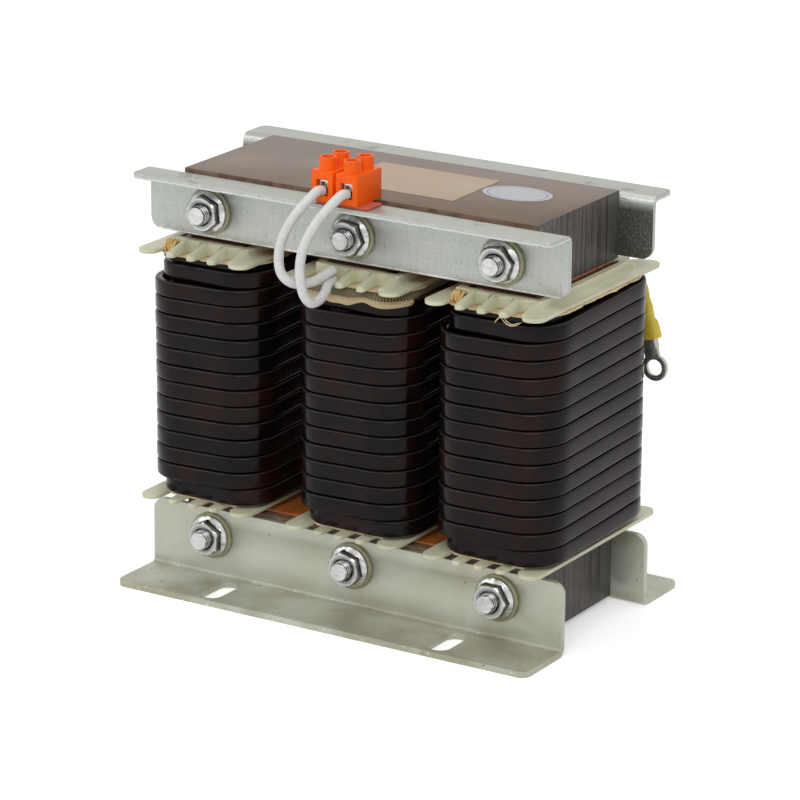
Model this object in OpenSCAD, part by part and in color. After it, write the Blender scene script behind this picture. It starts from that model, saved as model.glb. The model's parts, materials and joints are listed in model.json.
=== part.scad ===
/* [Core] */
// Width of each of the three limbs, along the row of coils
limb_w = 27; // [20:1:40]
// Space between neighbouring windings
coil_space = 12; // [8:0.5:30]
// Depth of the lamination stack, front to rear
core_depth = 63; // [50:1:80]
// Height of the upper yoke
upper_yoke_h = 27; // [24:0.5:40]
// Height of the lower yoke
lower_yoke_h = 29.5; // [26:0.5:40]
// Height of the window between the two yokes
window_h = 110; // [90:0.5:140]
// Height of the core's underside above the mounting surface
core_lift = 2; // [1:0.5:4]
// Thickness of the insulating sheet between each yoke and the limbs
gap_sheet_t = 1; // [0.5:0.1:1.5]
// How far the insulating sheets stay behind the yoke's front and rear faces
gap_sheet_inset = 3.5; // [1:0.5:8]
// Thickness of the spacer that splits each limb into two blocks
gap_spacer_t = 3; // [1:0.5:6]

/* [Clamps] */
// How far the four angle clamps stand out past each end of the core
clamp_overhang = 15; // [8:0.5:30]
// Sheet thickness of the two upper clamps
upper_t = 2; // [1.5:0.1:3]
// Height of the upper clamps, flange included
upper_h = 25; // [24:0.5:28]
// Depth of the upper clamps' flange, measured from the core
upper_leg = 15.5; // [12:0.5:20]
// How far the upper flanges lie below the top of the core
upper_drop = 1; // [0.5:0.1:3]
// Sheet thickness of the two foot clamps
foot_t = 2.5; // [2:0.1:4]
// How far the foot clamps stay below the top of the lower yoke
foot_drop = 1.5; // [1.5:0.1:4]
// Depth of the feet, measured from the core
foot_leg = 29.5; // [26:0.5:50]
// Radius inside the bend of each clamp
bend_r = 1.5; // [0.5:0.1:2.5]
// Radius of the rounded corners of the upright legs
plate_corner_r = 5; // [2:0.5:8]
// Radius of the rounded corners of the flanges
flange_corner_r = 3; // [1:0.5:6]
// Radius of the rounded corners of the feet
foot_corner_r = 4; // [1:0.5:8]

/* [Foot slots] */
// Width of the four mounting slots
slot_w = 9; // [7:0.5:11]
// Length of the mounting slots, end to end
slot_len = 20; // [14:0.5:22]
// Distance between the slots of one foot
slot_spacing = 106; // [80:1:140]
// Distance from a foot's outer edge to the end of its slots
slot_edge = 2.5; // [2:0.5:6]

/* [Bolts] */
// Thread diameter of the six clamping bolts
bolt_d = 8; // [6:0.5:8]
// Height of the upper bolts below the top of the core
upper_bolt_drop = 15.2; // [14:0.1:16]
// Height of the lower bolts below the top of the foot clamps
lower_bolt_drop = 11; // [11:0.1:12]
// Width across the flats of the flange nuts and bolt heads
nut_af = 13; // [10:0.5:14]
// Height of the flange nuts
nut_h = 5.5; // [5:0.5:10]
// Height of the bolt heads
bolt_head_h = 5.5; // [5:0.5:9]
// Diameter of the flange under each nut and head
nut_flange_d = 17; // [15:0.5:18]
// Thickness of that flange at its rim
nut_rim_t = 1.2; // [0.8:0.1:2]
// Length of thread that shows beyond each nut
bolt_show = 3.2; // [1:0.1:8]
// Size of the bevel at the end of each bolt
bolt_bevel = 1; // [0.4:0.1:1.5]
// Diameter of the insulating washers
washer_d = 19; // [18:0.5:21]
// Thickness of the insulating washers
washer_t = 1.5; // [1:0.1:2.5]
// Wall of the insulating sleeve round each bolt
sleeve_wall = 0.6; // [0.4:0.1:1]

/* [Coil frames] */
// How far a frame stays behind its winding on the left
frame_left_inset = 0.25; // [0:0.05:3]
// How far a frame stays behind its winding on the right
frame_right_inset = 2.5; // [0.5:0.05:4]
// How far the ears of a frame stand out in front of its winding
front_ear_out = 3.2; // [2:0.1:9]
// How far the ears of a frame stand out behind its winding
rear_ear_out = 7; // [2:0.1:9]
// Thickness of the frame plates
frame_t = 1.6; // [1.5:0.1:3]
// How far the comb fingers stay behind the ears
finger_setback = 0.2; // [0:0.1:6]
// Width of the comb fingers
finger_w = 4; // [3:0.1:5]
// Width of the narrow ear
narrow_ear_w = 8.5; // [6:0.5:9]
// Width of the broad ear
broad_ear_w = 9.5; // [8:0.5:11]
// Height of the rim and ribs on the upper frames
upper_rib_h = 3.3; // [1:0.1:5]
// Height of the rim and ribs on the lower frames
lower_rib_h = 0.8; // [0.4:0.1:3]
// Width of the ribs
rib_w = 2.4; // [1:0.1:3]
// Wall of the former tube on each limb
former_wall = 1.2; // [0.8:0.1:2]

/* [Windings] */
// Thickness of the flat conductor
cond_t = 3; // [2:0.1:3.2]
// Height of the flat conductor
cond_h = 6.4; // [5:0.1:7]
// Least space between one turn and the next
turn_gap = 0.4; // [0.4:0.05:1]
// Distance from one layer of conductor to the next
layer_step = 3.5; // [3.42:0.01:4]
// Build of the winding from the limb's side face
build_side = 13.75; // [12.5:0.25:15]
// Build of the winding from the limb's front face
build_front = 12; // [11.5:0.25:15]
// Outer corner radius of the winding
coil_corner_r = 16; // [12:0.5:18]
// Thickness of the insulating paper between a frame and its winding
paper_t = 0.3; // [0.1:0.05:0.4]
// Room between a limb and its coil at each side
coil_play = 2.4; // [1:0.1:3]
// How far the left coil sits to the right of its limb
left_coil_shift = -0.4; // [-0.9:0.1:0.9]
// How far the middle coil sits to the right of its limb
middle_coil_shift = 2.1; // [-0.9:0.1:2.2]
// How far the right coil sits to the right of its limb
right_coil_shift = -1.1; // [-2:0.1:0.9]

/* [Phase leads] */
// Lean of the hanging leads from the vertical, in degrees
lead_lean = 15; // [5:1:20]
// How far the finish lug's hole lies inside the side of its winding
lug_inset = 2.9; // [2:0.1:9]
// How far the start lug's hole lies inside the side of its winding
start_lug_inset = 5; // [2:0.1:9]
// Height of the lug holes below the top of the winding
lead_drop = 40; // [36:0.5:60]
// Diameter of the lug holes
lug_hole_d = 6.4; // [5.2:0.1:8.4]
// Width of the lug palms
lug_palm_w = 11; // [10:0.5:12]
// Thickness of the lug palms
lug_palm_t = 1.5; // [1:0.1:2.5]
// Length of the coloured sleeves
lead_sleeve_len = 17; // [10:0.5:20]
// Wall of the coloured sleeves
lead_sleeve_wall = 0.5; // [0.4:0.1:0.6]

/* [Terminal block] */
// Distance between the two poles
pole_pitch = 11; // [10:0.5:14]
// Width of each pole
pole_w = 9.4; // [8:0.1:9.6]
// Depth of the block
block_depth = 17.5; // [15:0.5:22]
// Height of the block without its screw towers
block_h = 12; // [11:0.1:16]
// Height of the screw towers
tower_h = 5; // [3:0.1:8]
// Diameter of the screw towers
tower_d = 6.7; // [6:0.1:8]
// Place of the block's middle along the clamp
block_x = -0.9; // [-20:0.1:20]
// How far the block stays behind the flange's front edge
block_setback = 1; // [0:0.1:3]
// Thread diameter of the terminal screws
screw_d = 3; // [2.5:0.1:3.2]

/* [Thermal leads] */
// Diameter of the white sleeved leads
lead_d = 3.8; // [2.5:0.1:4]
// Diameter of the bare wire in the leads
wire_d = 1.2; // [0.8:0.1:1.4]

/* [Hidden] */
$fn = 64;

// One overrun for every cut that passes a face
over = 1;
// Clearance between pieces that slide over each other when the coils are assembled
fit_gap = 0.3;

// Heights of the core
limb_pitch = limb_w + 2 * build_side + coil_space;
core_len = 2 * limb_pitch + limb_w;
lower_yoke_top = core_lift + lower_yoke_h;
window_top = lower_yoke_top + window_h;
core_top = window_top + upper_yoke_h;
limb_bottom = lower_yoke_top + gap_sheet_t;
limb_top = window_top - gap_sheet_t;
core_half = core_depth / 2;

// Lengths, heights and places of the clamps and bolts
clamp_len = core_len + 2 * clamp_overhang;
foot_h = lower_yoke_top - foot_drop;
flange_top = core_top - upper_drop;
foot_edge = core_half + foot_leg;
upper_edge = core_half + upper_leg;
slot_y = foot_edge - slot_edge - slot_len / 2;
upper_bolt_z = core_top - upper_bolt_drop;
lower_bolt_z = foot_h - lower_bolt_drop;
// Clearance of the holes round the bolts' sleeves
hole_gap = 0.2;
bolt_hole_d = bolt_d + 2 * (sleeve_wall + 2 * hole_gap);

// Heights of the coil frames and windings
// Clearance between a frame's ribs and the insulating sheet
rib_gap = 0.2;
// Clearance between a paper collar and the winding
collar_gap = 0.2;
lower_frame_bottom = limb_bottom + rib_gap;
upper_frame_top = limb_top - rib_gap;
lower_plate_top = lower_frame_bottom + lower_rib_h + frame_t;
upper_plate_bottom = upper_frame_top - upper_rib_h - frame_t;
wind_bottom = lower_plate_top + paper_t + collar_gap;
wind_top = upper_plate_bottom - paper_t - collar_gap;

// Plan of the coils, measured from each coil's middle
coil_half_w = limb_w / 2 + build_side;
coil_half_d = core_half + build_front;
frame_left = coil_half_w - frame_left_inset;
frame_right = coil_half_w - frame_right_inset;
former_half_w = limb_w / 2 + coil_play + former_wall;
former_half_d = core_half + fit_gap + former_wall;
bore_half_w = former_half_w + fit_gap;
bore_half_d = former_half_d + fit_gap;

// Path of the outer layer: five rings on each corner, a flat run between corners
corner_steps = 4;
corner_rings = corner_steps + 1;
loop_rings = 4 * corner_rings;
path_r = coil_corner_r - cond_t / 2;
run_w = 2 * (coil_half_w - coil_corner_r);
run_d = 2 * (coil_half_d - coil_corner_r);
arc_len = PI * path_r / 2;
loop_len = 4 * arc_len + 2 * run_w + 2 * run_d;
// Share of a loop at the end of each corner: rear left, front left, front right, rear right
front_left_share = (2 * arc_len + run_d) / loop_len;
front_right_share = (3 * arc_len + run_d + run_w) / loop_len;
rear_right_share = (4 * arc_len + 2 * run_d + run_w) / loop_len;
// The first turn lies flat on the frame as far as the front left corner, then the layer climbs
climb_start = front_left_share;
part_turn = rear_right_share + cond_h / loop_len - climb_start;
// Whole turns of the outer layer, as many as the height holds
turns = floor((wind_top - wind_bottom - cond_h) / (cond_h + turn_gap) - part_turn);
climb_end = climb_start + turns + part_turn;
pitch = (wind_top - wind_bottom - cond_h) / (climb_end - climb_start);
last_turn = turns * loop_rings;
// The block is stepped in as high as the first turn lies and from where the last turn leaves the outer layer
foot_top = wind_bottom + cond_h + turn_gap + pitch * (front_right_share - climb_start);
neck_bottom = wind_bottom + pitch * (turns - 1 + rear_right_share - climb_start) - turn_gap;
cap_bottom = wind_bottom + pitch * (turns + front_right_share - climb_start) + cond_h + fit_gap / 2;

function place(side) = side * limb_pitch;
// Middle of a coil, which sits with some play on its limb
function coil_x(side) =
    place(side) + (side < 0 ? left_coil_shift : side > 0 ? right_coil_shift : middle_coil_shift);

module bar(x0, x1, y0, y1, z0, z1) {
    translate([x0, y0, z0]) cube([x1 - x0, y1 - y0, z1 - z0]);
}

// A cylinder along Y from y0 to y1
module rod_y(d, x, y0, y1, z) {
    translate([x, y1, z]) rotate([90, 0, 0]) cylinder(d = d, h = y1 - y0);
}

// Plan of a rounded rectangle from its half sizes
module round_plan(half_w, half_d, r) {
    square([2 * half_w, 2 * (half_d - r)], center = true);
    square([2 * (half_w - r), 2 * half_d], center = true);
    for (x = [-1, 1], y = [-1, 1]) translate([x * (half_w - r), y * (half_d - r)]) circle(r = r);
}

// What a rounded corner takes off a square one; the corner is at the origin, material lies towards +X and +Y
module corner_off(r, depth) {
    difference() {
        translate([-over, -over, -over]) cube([r + over, r + over, depth + 2 * over]);
        translate([r, r, -2 * over]) cylinder(r = r, h = depth + 4 * over);
    }
}

// Angle section along X: an upright leg and a flange joined by a bend. The core's face is at y = 0,
// the sheet lies towards -Y and the flange is at the top, at z = h
module angle_section(h, leg, t) {
    outer = bend_r + t;
    rotate([90, 0, 90]) linear_extrude(clamp_len, center = true) {
        translate([-t, 0]) square([t, h - outer]);
        translate([-leg, h - t]) square([leg - outer, t]);
        intersection() {
            translate([-outer, h - outer]) difference() {
                circle(r = outer);
                circle(r = bend_r);
            }
            translate([-outer, h - outer]) square([outer, outer]);
        }
    }
}

module angle_clamp(h, leg, t, flange_r) {
    difference() {
        angle_section(h, leg, t);
        for (side = [-1, 1]) {
            scale([side, 1, 1]) translate([-clamp_len / 2, 0, 0]) rotate([90, 0, 0])
                corner_off(plate_corner_r, t);
            scale([side, 1, 1]) translate([-clamp_len / 2, -leg, h - t]) corner_off(flange_r, t);
        }
    }
}

// Upper clamp for the front; the rear one is turned half round
module upper_clamp() {
    translate([0, -core_half, flange_top - upper_h]) difference() {
        angle_clamp(upper_h, upper_leg, upper_t, flange_corner_r);
        for (side = [-1, 0, 1])
            rod_y(bolt_hole_d, place(side), -upper_t - over, over, upper_bolt_z - flange_top + upper_h);
    }
}

// Foot clamp for the front, with its flange at the bottom
module foot_clamp() {
    difference() {
        translate([0, -core_half, foot_h]) scale([1, 1, -1])
            angle_clamp(foot_h, foot_leg, foot_t, foot_corner_r);
        for (side = [-1, 0, 1])
            rod_y(bolt_hole_d, place(side), -core_half - foot_t - over, -core_half + over, lower_bolt_z);
        for (side = [-1, 1]) translate([side * slot_spacing / 2, -slot_y, -over]) slot(foot_t + 2 * over);
    }
}

// A slot along Y with round ends
module slot(depth) {
    half_run = (slot_len - slot_w) / 2;
    for (end = [-1, 1]) translate([0, end * half_run, 0]) cylinder(d = slot_w, h = depth);
    translate([-slot_w / 2, -half_run, 0]) cube([slot_w, 2 * half_run, depth]);
}

module front_upper_clamp() { color([0.68, 0.70, 0.67]) upper_clamp(); }
module rear_upper_clamp() { color([0.68, 0.70, 0.67]) rotate([0, 0, 180]) upper_clamp(); }
module front_foot_clamp() { color([0.62, 0.63, 0.56]) foot_clamp(); }
module rear_foot_clamp() { color([0.62, 0.63, 0.56]) rotate([0, 0, 180]) foot_clamp(); }

module yoke(z0, h, bolt_z) {
    difference() {
        bar(-core_len / 2, core_len / 2, -core_half, core_half, z0, z0 + h);
        for (side = [-1, 0, 1])
            rod_y(bolt_hole_d, place(side), -core_half - over, core_half + over, bolt_z);
    }
}

module upper_yoke() { color([0.45, 0.39, 0.35]) yoke(window_top, upper_yoke_h, upper_bolt_z); }
module lower_yoke() { color([0.33, 0.31, 0.30]) yoke(core_lift, lower_yoke_h, lower_bolt_z); }

// Two laminated blocks with room for the spacer between them
module limb(side) {
    middle = (limb_bottom + limb_top) / 2;
    x = place(side);
    color([0.30, 0.28, 0.27]) {
        bar(x - limb_w / 2, x + limb_w / 2, -core_half, core_half, limb_bottom, middle - gap_spacer_t / 2);
        bar(x - limb_w / 2, x + limb_w / 2, -core_half, core_half, middle + gap_spacer_t / 2, limb_top);
    }
}

module left_limb() limb(-1);
module middle_limb() limb(0);
module right_limb() limb(1);

module gap_spacers() {
    middle = (limb_bottom + limb_top) / 2;
    color([0.80, 0.72, 0.50]) for (side = [-1, 0, 1])
        bar(place(side) - limb_w / 2, place(side) + limb_w / 2, -core_half, core_half,
            middle - gap_spacer_t / 2, middle + gap_spacer_t / 2);
}

// Insulating sheets between the limbs and the yokes
module gap_sheets() {
    half_d = core_half - gap_sheet_inset;
    color([0.72, 0.33, 0.10]) for (z = [lower_yoke_top, limb_top])
        bar(-core_len / 2, core_len / 2, -half_d, half_d, z, z + gap_sheet_t);
}

// Bolts, washers, nuts and sleeves. Each stands on the outer face of a clamp
function clamp_face(upper) = core_half + (upper ? upper_t : foot_t);
function bolt_z(upper) = upper ? upper_bolt_z : lower_bolt_z;

// Flange nut or flange head, standing on z = 0
module flanged_hex(h) {
    cylinder(d = nut_flange_d, h = nut_rim_t);
    translate([0, 0, nut_rim_t]) cylinder(d1 = nut_flange_d, d2 = nut_af, h = nut_rim_t);
    intersection() {
        rotate(30) cylinder(d = nut_af / cos(30), h = h, $fn = 6);
        union() {
            bevel = (nut_af / cos(30) - nut_af) / 2;
            cylinder(d = nut_af / cos(30), h = h - bevel);
            translate([0, 0, h - bevel]) cylinder(d1 = nut_af / cos(30), d2 = nut_af, h = bevel);
        }
    }
}

module clamp_bolts() {
    color([0.75, 0.76, 0.76]) for (side = [-1, 0, 1], upper = [true, false]) {
        seat = clamp_face(upper) + washer_t;
        tip = seat + nut_h + bolt_show;
        translate([place(side), 0, bolt_z(upper)]) {
            translate([0, seat, 0]) rotate([-90, 0, 0]) flanged_hex(bolt_head_h);
            translate([0, seat, 0]) rotate([90, 0, 0]) cylinder(d = bolt_d, h = seat + tip - bolt_bevel);
            translate([0, bolt_bevel - tip, 0]) rotate([90, 0, 0])
                cylinder(d1 = bolt_d, d2 = bolt_d - 2 * bolt_bevel, h = bolt_bevel);
        }
    }
}

module flange_nuts() {
    color([0.78, 0.79, 0.79]) for (side = [-1, 0, 1], upper = [true, false])
        translate([place(side), -clamp_face(upper) - washer_t, bolt_z(upper)]) rotate([90, 0, 0])
            difference() {
                flanged_hex(nut_h);
                translate([0, 0, -over]) cylinder(d = bolt_d, h = nut_h + 2 * over);
            }
}

module insulating_washers() {
    color([0.55, 0.54, 0.42]) for (side = [-1, 0, 1], upper = [true, false], face = [-1, 1])
        translate([place(side), 0, bolt_z(upper)]) scale([1, face, 1]) difference() {
            rod_y(washer_d, 0, clamp_face(upper), clamp_face(upper) + washer_t, 0);
            rod_y(bolt_d + 2 * hole_gap, 0, clamp_face(upper) - over,
                clamp_face(upper) + washer_t + over, 0);
        }
}

module bolt_sleeves() {
    color([0.80, 0.76, 0.60]) for (side = [-1, 0, 1], upper = [true, false]) {
        half = clamp_face(upper);
        difference() {
            rod_y(bolt_d + 2 * (hole_gap + sleeve_wall), place(side), -half, half, bolt_z(upper));
            rod_y(bolt_d + 2 * hole_gap, place(side), -half - over, half + over, bolt_z(upper));
        }
    }
}

// Coil frames: narrow ears, three fingers and broad ears stand out at the front and the rear
// Solid strip of the frame between its opening and the roots of the slots
comb_strip_w = 1.5;
comb_root = former_half_d + comb_strip_w;
// Places of the fingers as shares of the width between the two ears
finger_shares = [0.223, 0.507, 0.796];
ear_span = frame_left + frame_right - narrow_ear_w - broad_ear_w;
function finger_x(i) = narrow_ear_w - frame_left + finger_shares[i] * ear_span;

// A strip from the frame's middle to y = end, with a round end
module comb_strip(x, w, end) {
    translate([x - w / 2, 0]) square([w, end - w / 2]);
    translate([x, end - w / 2]) circle(d = w);
}

module half_frame_plan(end) {
    translate([-frame_left, 0]) square([frame_left + frame_right, comb_root]);
    comb_strip(narrow_ear_w / 2 - frame_left, narrow_ear_w, end);
    comb_strip(frame_right - broad_ear_w / 2, broad_ear_w, end);
    for (i = [0:2]) comb_strip(finger_x(i), finger_w, end - finger_setback);
}

// Wedge rib that rises from the tip of a finger towards the rim
module comb_rib(x, end, h) {
    translate([x - rib_w / 2, 0, frame_t]) rotate([90, 0, 90]) linear_extrude(rib_w)
        polygon([[bore_half_d, -over], [end, -over], [end, 0], [comb_root, h], [bore_half_d, h]]);
}

module comb_ribs(end, h) {
    for (i = [0:2]) comb_rib(finger_x(i), end - finger_setback - finger_w / 2, h);
    comb_rib(rib_w / 2 + frame_right - broad_ear_w, end - broad_ear_w / 2, h);
}

// Frame with its flat face at z = 0, its ribs and the rim round its opening above
module coil_frame(h) {
    difference() {
        union() {
            linear_extrude(frame_t) {
                half_frame_plan(coil_half_d + rear_ear_out);
                scale([1, -1]) half_frame_plan(coil_half_d + front_ear_out);
            }
            linear_extrude(frame_t + h)
                square([2 * (bore_half_w + comb_strip_w), 2 * comb_root], center = true);
        }
        translate([0, 0, -over]) linear_extrude(frame_t + h + 2 * over)
            square([2 * bore_half_w, 2 * bore_half_d], center = true);
    }
    comb_ribs(coil_half_d + rear_ear_out, h);
    scale([1, -1, 1]) comb_ribs(coil_half_d + front_ear_out, h);
}

module upper_frame(side) {
    color([0.80, 0.80, 0.68]) translate([coil_x(side), 0, upper_plate_bottom]) coil_frame(upper_rib_h);
}

module lower_frame(side) {
    color([0.80, 0.80, 0.68]) translate([coil_x(side), 0, lower_plate_top]) scale([1, 1, -1])
        coil_frame(lower_rib_h);
}

module left_upper_frame() upper_frame(-1);
module middle_upper_frame() upper_frame(0);
module right_upper_frame() upper_frame(1);
module left_lower_frame() lower_frame(-1);
module middle_lower_frame() lower_frame(0);
module right_lower_frame() lower_frame(1);

// Rectangular tube between the limb and the winding
module former(side) {
    color([0.78, 0.74, 0.58]) translate([coil_x(side), 0, lower_frame_bottom])
        linear_extrude(upper_frame_top - lower_frame_bottom) difference() {
            square([2 * former_half_w, 2 * former_half_d], center = true);
            square([limb_w + 2 * coil_play, core_depth + 2 * fit_gap], center = true);
        }
}

module left_former() former(-1);
module middle_former() former(0);
module right_former() former(1);

// Inner layers as one wound block: stepped in at both ends, where the outer layer's end turns lie
module winding_block(z0, z1, inset) {
    translate([0, 0, z0]) linear_extrude(z1 - z0) difference() {
        round_plan(coil_half_w - inset, coil_half_d - inset, coil_corner_r - inset);
        square([2 * bore_half_w, 2 * bore_half_d], center = true);
    }
}

module inner_winding_body() {
    winding_block(wind_bottom, foot_top, 2 * layer_step);
    winding_block(foot_top, neck_bottom, layer_step);
    winding_block(neck_bottom, cap_bottom, 2 * layer_step);
    winding_block(cap_bottom, wind_top, layer_step);
}

module inner_winding(side) {
    color([0.16, 0.13, 0.12]) translate([coil_x(side), 0, 0]) inner_winding_body();
}

module left_inner_winding() inner_winding(-1);
module right_inner_winding() inner_winding(1);
module middle_inner_winding() {
    color([0.16, 0.13, 0.12]) difference() {
        translate([coil_x(0), 0, 0]) inner_winding_body();
        bar(switch_x - switch_w / 2 - fit_gap, switch_x + switch_w / 2 + fit_gap,
            switch_y - switch_t / 2 - fit_gap, switch_y + switch_t / 2 + over,
            switch_top - switch_h - fit_gap, wind_top + over);
    }
}

// Place along the outer layer of ring i, in loops from the start of the rear left corner
function loop_share(i) =
    let (j = i % loop_rings, corner = floor(j / corner_rings), step = j % corner_rings,
        runs = corner == 0 ? 0 : corner == 1 ? run_d : corner == 2 ? run_d + run_w : 2 * run_d + run_w)
    floor(i / loop_rings) + (corner * arc_len + step / corner_steps * arc_len + runs) / loop_len;
// Smooth step from 0 to 1 as s goes from a to b
function ease(s, a, b) = let (u = min(1, max(0, (s - a) / (b - a)))) u * u * (3 - 2 * u);
// How far the conductor is stepped in: on the first turn up to the front right corner, and again on the last
function step_in(s) = layer_step * (1 - ease(s, front_left_share, front_right_share)
    + ease(s, rear_right_share + turns - 1, turns + arc_len / loop_len)
    - ease(s, turns + front_left_share, turns + front_right_share));
function climb(s) = wind_bottom + cond_h / 2 + pitch * max(0, s - climb_start);

// Ring of the conductor: x and y of its middle, height, and the outward direction in degrees
function ring_place(i) =
    let (j = i % loop_rings, corner = floor(j / corner_rings), step = j % corner_rings, s = loop_share(i),
        out = 90 + 90 * corner + 90 * step / corner_steps, r = path_r - step_in(s),
        cx = (corner == 0 || corner == 1 ? -1 : 1) * run_w / 2,
        cy = (corner == 0 || corner == 3 ? 1 : -1) * run_d / 2)
    [cx + r * cos(out), cy + r * sin(out), climb(s), out];
// The start and the end run straight for the height of the conductor
function start_ring() = let (p = ring_place(0)) [p[0] + cond_h, p[1], p[2], p[3]];
function end_ring() = let (p = ring_place(last_turn + loop_rings - 1))
    [p[0] - cond_h, p[1], climb(climb_end), p[3]];
function coil_rings() = concat([start_ring()], [for (i = [0 : last_turn + loop_rings - 1]) ring_place(i)],
    [end_ring()]);

// Section of the conductor: flat inside, slightly crowned outside, as shares of thickness and height
section_shares = [[-0.5, -0.5], [0.42, -0.5], [0.5, 0], [0.42, 0.5], [-0.5, 0.5]];
function ring_points(p) = [for (q = section_shares)
    [p[0] + q[0] * cond_t * cos(p[3]), p[1] + q[0] * cond_t * sin(p[3]), p[2] + q[1] * cond_h]];

// Triangles of a tube of n rings with m points each, closed by fans at both ends
function tube_faces(n, m) = concat(
    [for (k = [1 : m - 2]) [0, k + 1, k]],
    [for (i = [0 : n - 2], k = [0 : m - 1]) let (a = i * m + k, b = i * m + (k + 1) % m) [a, b, a + m]],
    [for (i = [0 : n - 2], k = [0 : m - 1]) let (a = i * m + k, b = i * m + (k + 1) % m) [b, b + m, a + m]],
    [for (k = [1 : m - 2]) let (e = (n - 1) * m) [e, e + k, e + k + 1]]);

coil_path = coil_rings();
coil_points = [for (p = coil_path) ring_points(p)];
// Least distance between points of the conductor that lie more than a third of a loop apart
apart = ceil(loop_rings / 3);
coil_gap = min([for (i = [0 : len(coil_points) - 1], j = [i + apart : len(coil_points) - 1])
    if (abs(coil_path[i][2] - coil_path[j][2]) < 2 * pitch)
        for (a = coil_points[i], b = coil_points[j]) norm(a - b)]);
echo(least_gap_between_turns = coil_gap);

module outer_winding(side) {
    flat = [for (ring = coil_points) each ring];
    color([0.14, 0.11, 0.11]) translate([coil_x(side), 0, 0])
        polyhedron(points = flat, faces = tube_faces(len(coil_points), len(section_shares)), convexity = 10);
}

module left_outer_winding() outer_winding(-1);
module middle_outer_winding() outer_winding(0);
module right_outer_winding() outer_winding(1);

// Thin paper between each frame and its winding
upper_paper_inset = 1.5;
lower_paper_inset = 4;
module paper_collar(z, inset) {
    translate([0, 0, z]) linear_extrude(paper_t) difference() {
        round_plan(coil_half_w - inset, coil_half_d - inset, coil_corner_r - inset);
        square([2 * bore_half_w, 2 * bore_half_d], center = true);
    }
}

// The middle collar is cut back for the thermal switch
module paper_collars() {
    color([0.82, 0.70, 0.52]) {
        for (side = [-1, 0, 1]) translate([coil_x(side), 0, 0])
            paper_collar(lower_plate_top, lower_paper_inset);
        for (side = [-1, 1]) translate([coil_x(side), 0, 0])
            paper_collar(upper_plate_bottom - paper_t, upper_paper_inset);
        difference() {
            translate([coil_x(0), 0, 0]) paper_collar(upper_plate_bottom - paper_t, upper_paper_inset);
            bar(switch_x - switch_w / 2, switch_x + switch_w / 2, -coil_half_d, 0,
                upper_plate_bottom - paper_t - over, upper_plate_bottom + over);
        }
    }
}

// Woven tape round the top of the middle coil
tape_t = 0.2;
module binding_tape() {
    inset = layer_step - tape_t;
    color([0.72, 0.64, 0.42]) translate([coil_x(0), 0, cap_bottom])
        linear_extrude(wind_top - cap_bottom) difference() {
            round_plan(coil_half_w - inset, coil_half_d - inset, coil_corner_r - inset);
            round_plan(coil_half_w - layer_step, coil_half_d - layer_step, coil_corner_r - layer_step);
        }
}

// Twine that ties the outer coils to their frames, between the narrow ear and the first finger
cord_t = 4;
module binding_cords() {
    left = narrow_ear_w - frame_left + hole_gap;
    right = finger_x(0) - finger_w / 2 - hole_gap;
    color([0.80, 0.60, 0.28]) for (side = [-1, 1]) translate([coil_x(side), -comb_root, 0])
        bar(left, right, -cord_t, 0, upper_plate_bottom, upper_plate_bottom + frame_t + upper_rib_h / 2);
}

// Hanging leads. In their own frame the lug's hole is at the origin and the lead rises along +Z
function lug_side(hand) = coil_half_w - (hand > 0 ? lug_inset : start_lug_inset);
lug_hole_z = wind_top - lead_drop;
lead_y = coil_half_d + fit_gap + lead_sleeve_wall + hole_gap + cond_t / 2;
module hanging(side, hand) {
    translate([coil_x(side) + hand * lug_side(hand), lead_y, lug_hole_z])
        rotate([0, -hand * lead_lean, 0]) children();
}

palm_len = 8;
barrel_len = 9;
// How much of the barrel shows below the sleeve
barrel_show = 3.5;
sleeve_bottom = palm_len + barrel_show;
sleeve_top = sleeve_bottom + lead_sleeve_len;
bar_bottom = palm_len + barrel_len + hole_gap;
bar_top = (climb(climb_end) + cond_h / 2 - lug_hole_z) / cos(lead_lean) - cond_h * sin(lead_lean) / 2;

// The finish lead is folded over the end of the outer layer; the start lead comes from the inner layers
module lead_bars(side) {
    color([0.16, 0.12, 0.11]) {
        hanging(side, 1) {
            bar(-cond_h / 2, cond_h / 2, -cond_t / 2, cond_t / 2, bar_bottom, bar_top);
            bar(-cond_h / 2, cond_h / 2, coil_half_d - lead_y, cond_t / 2, bar_top - cond_h, bar_top);
        }
        start_x = (start_tab_z - lug_hole_z) * tan(lead_lean) - lug_side(-1);
        translate([coil_x(side), 0, 0]) bar(start_x - cond_h / 2, start_x + cond_h / 2,
            coil_half_d - 2 * layer_step, lead_y + cond_t / 2,
            start_tab_z - cond_t / 2, start_tab_z + cond_t / 2);
        hanging(side, -1) bar(-cond_h / 2, cond_h / 2, -cond_t / 2, cond_t / 2, bar_bottom,
            (start_tab_z - lug_hole_z) / cos(lead_lean));
    }
}
start_tab_z = cap_bottom - fit_gap - cond_t / 2;

module left_lead_bars() lead_bars(-1);
module middle_lead_bars() lead_bars(0);
module right_lead_bars() lead_bars(1);

module lead_sleeves(side) {
    half_w = cond_h / 2 + hole_gap + lead_sleeve_wall;
    half_t = cond_t / 2 + hole_gap + lead_sleeve_wall;
    for (hand = [-1, 1]) hanging(side, hand) translate([0, 0, sleeve_bottom]) linear_extrude(lead_sleeve_len)
        difference() {
            round_plan(half_w, half_t, half_t / 2);
            square([2 * (half_w - lead_sleeve_wall), 2 * (half_t - lead_sleeve_wall)], center = true);
        }
}

module left_lead_sleeves() { color([0.70, 0.15, 0.12]) lead_sleeves(-1); }
module middle_lead_sleeves() { color([0.15, 0.50, 0.20]) lead_sleeves(0); }
module right_lead_sleeves() { color([0.80, 0.70, 0.20]) lead_sleeves(1); }

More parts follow.
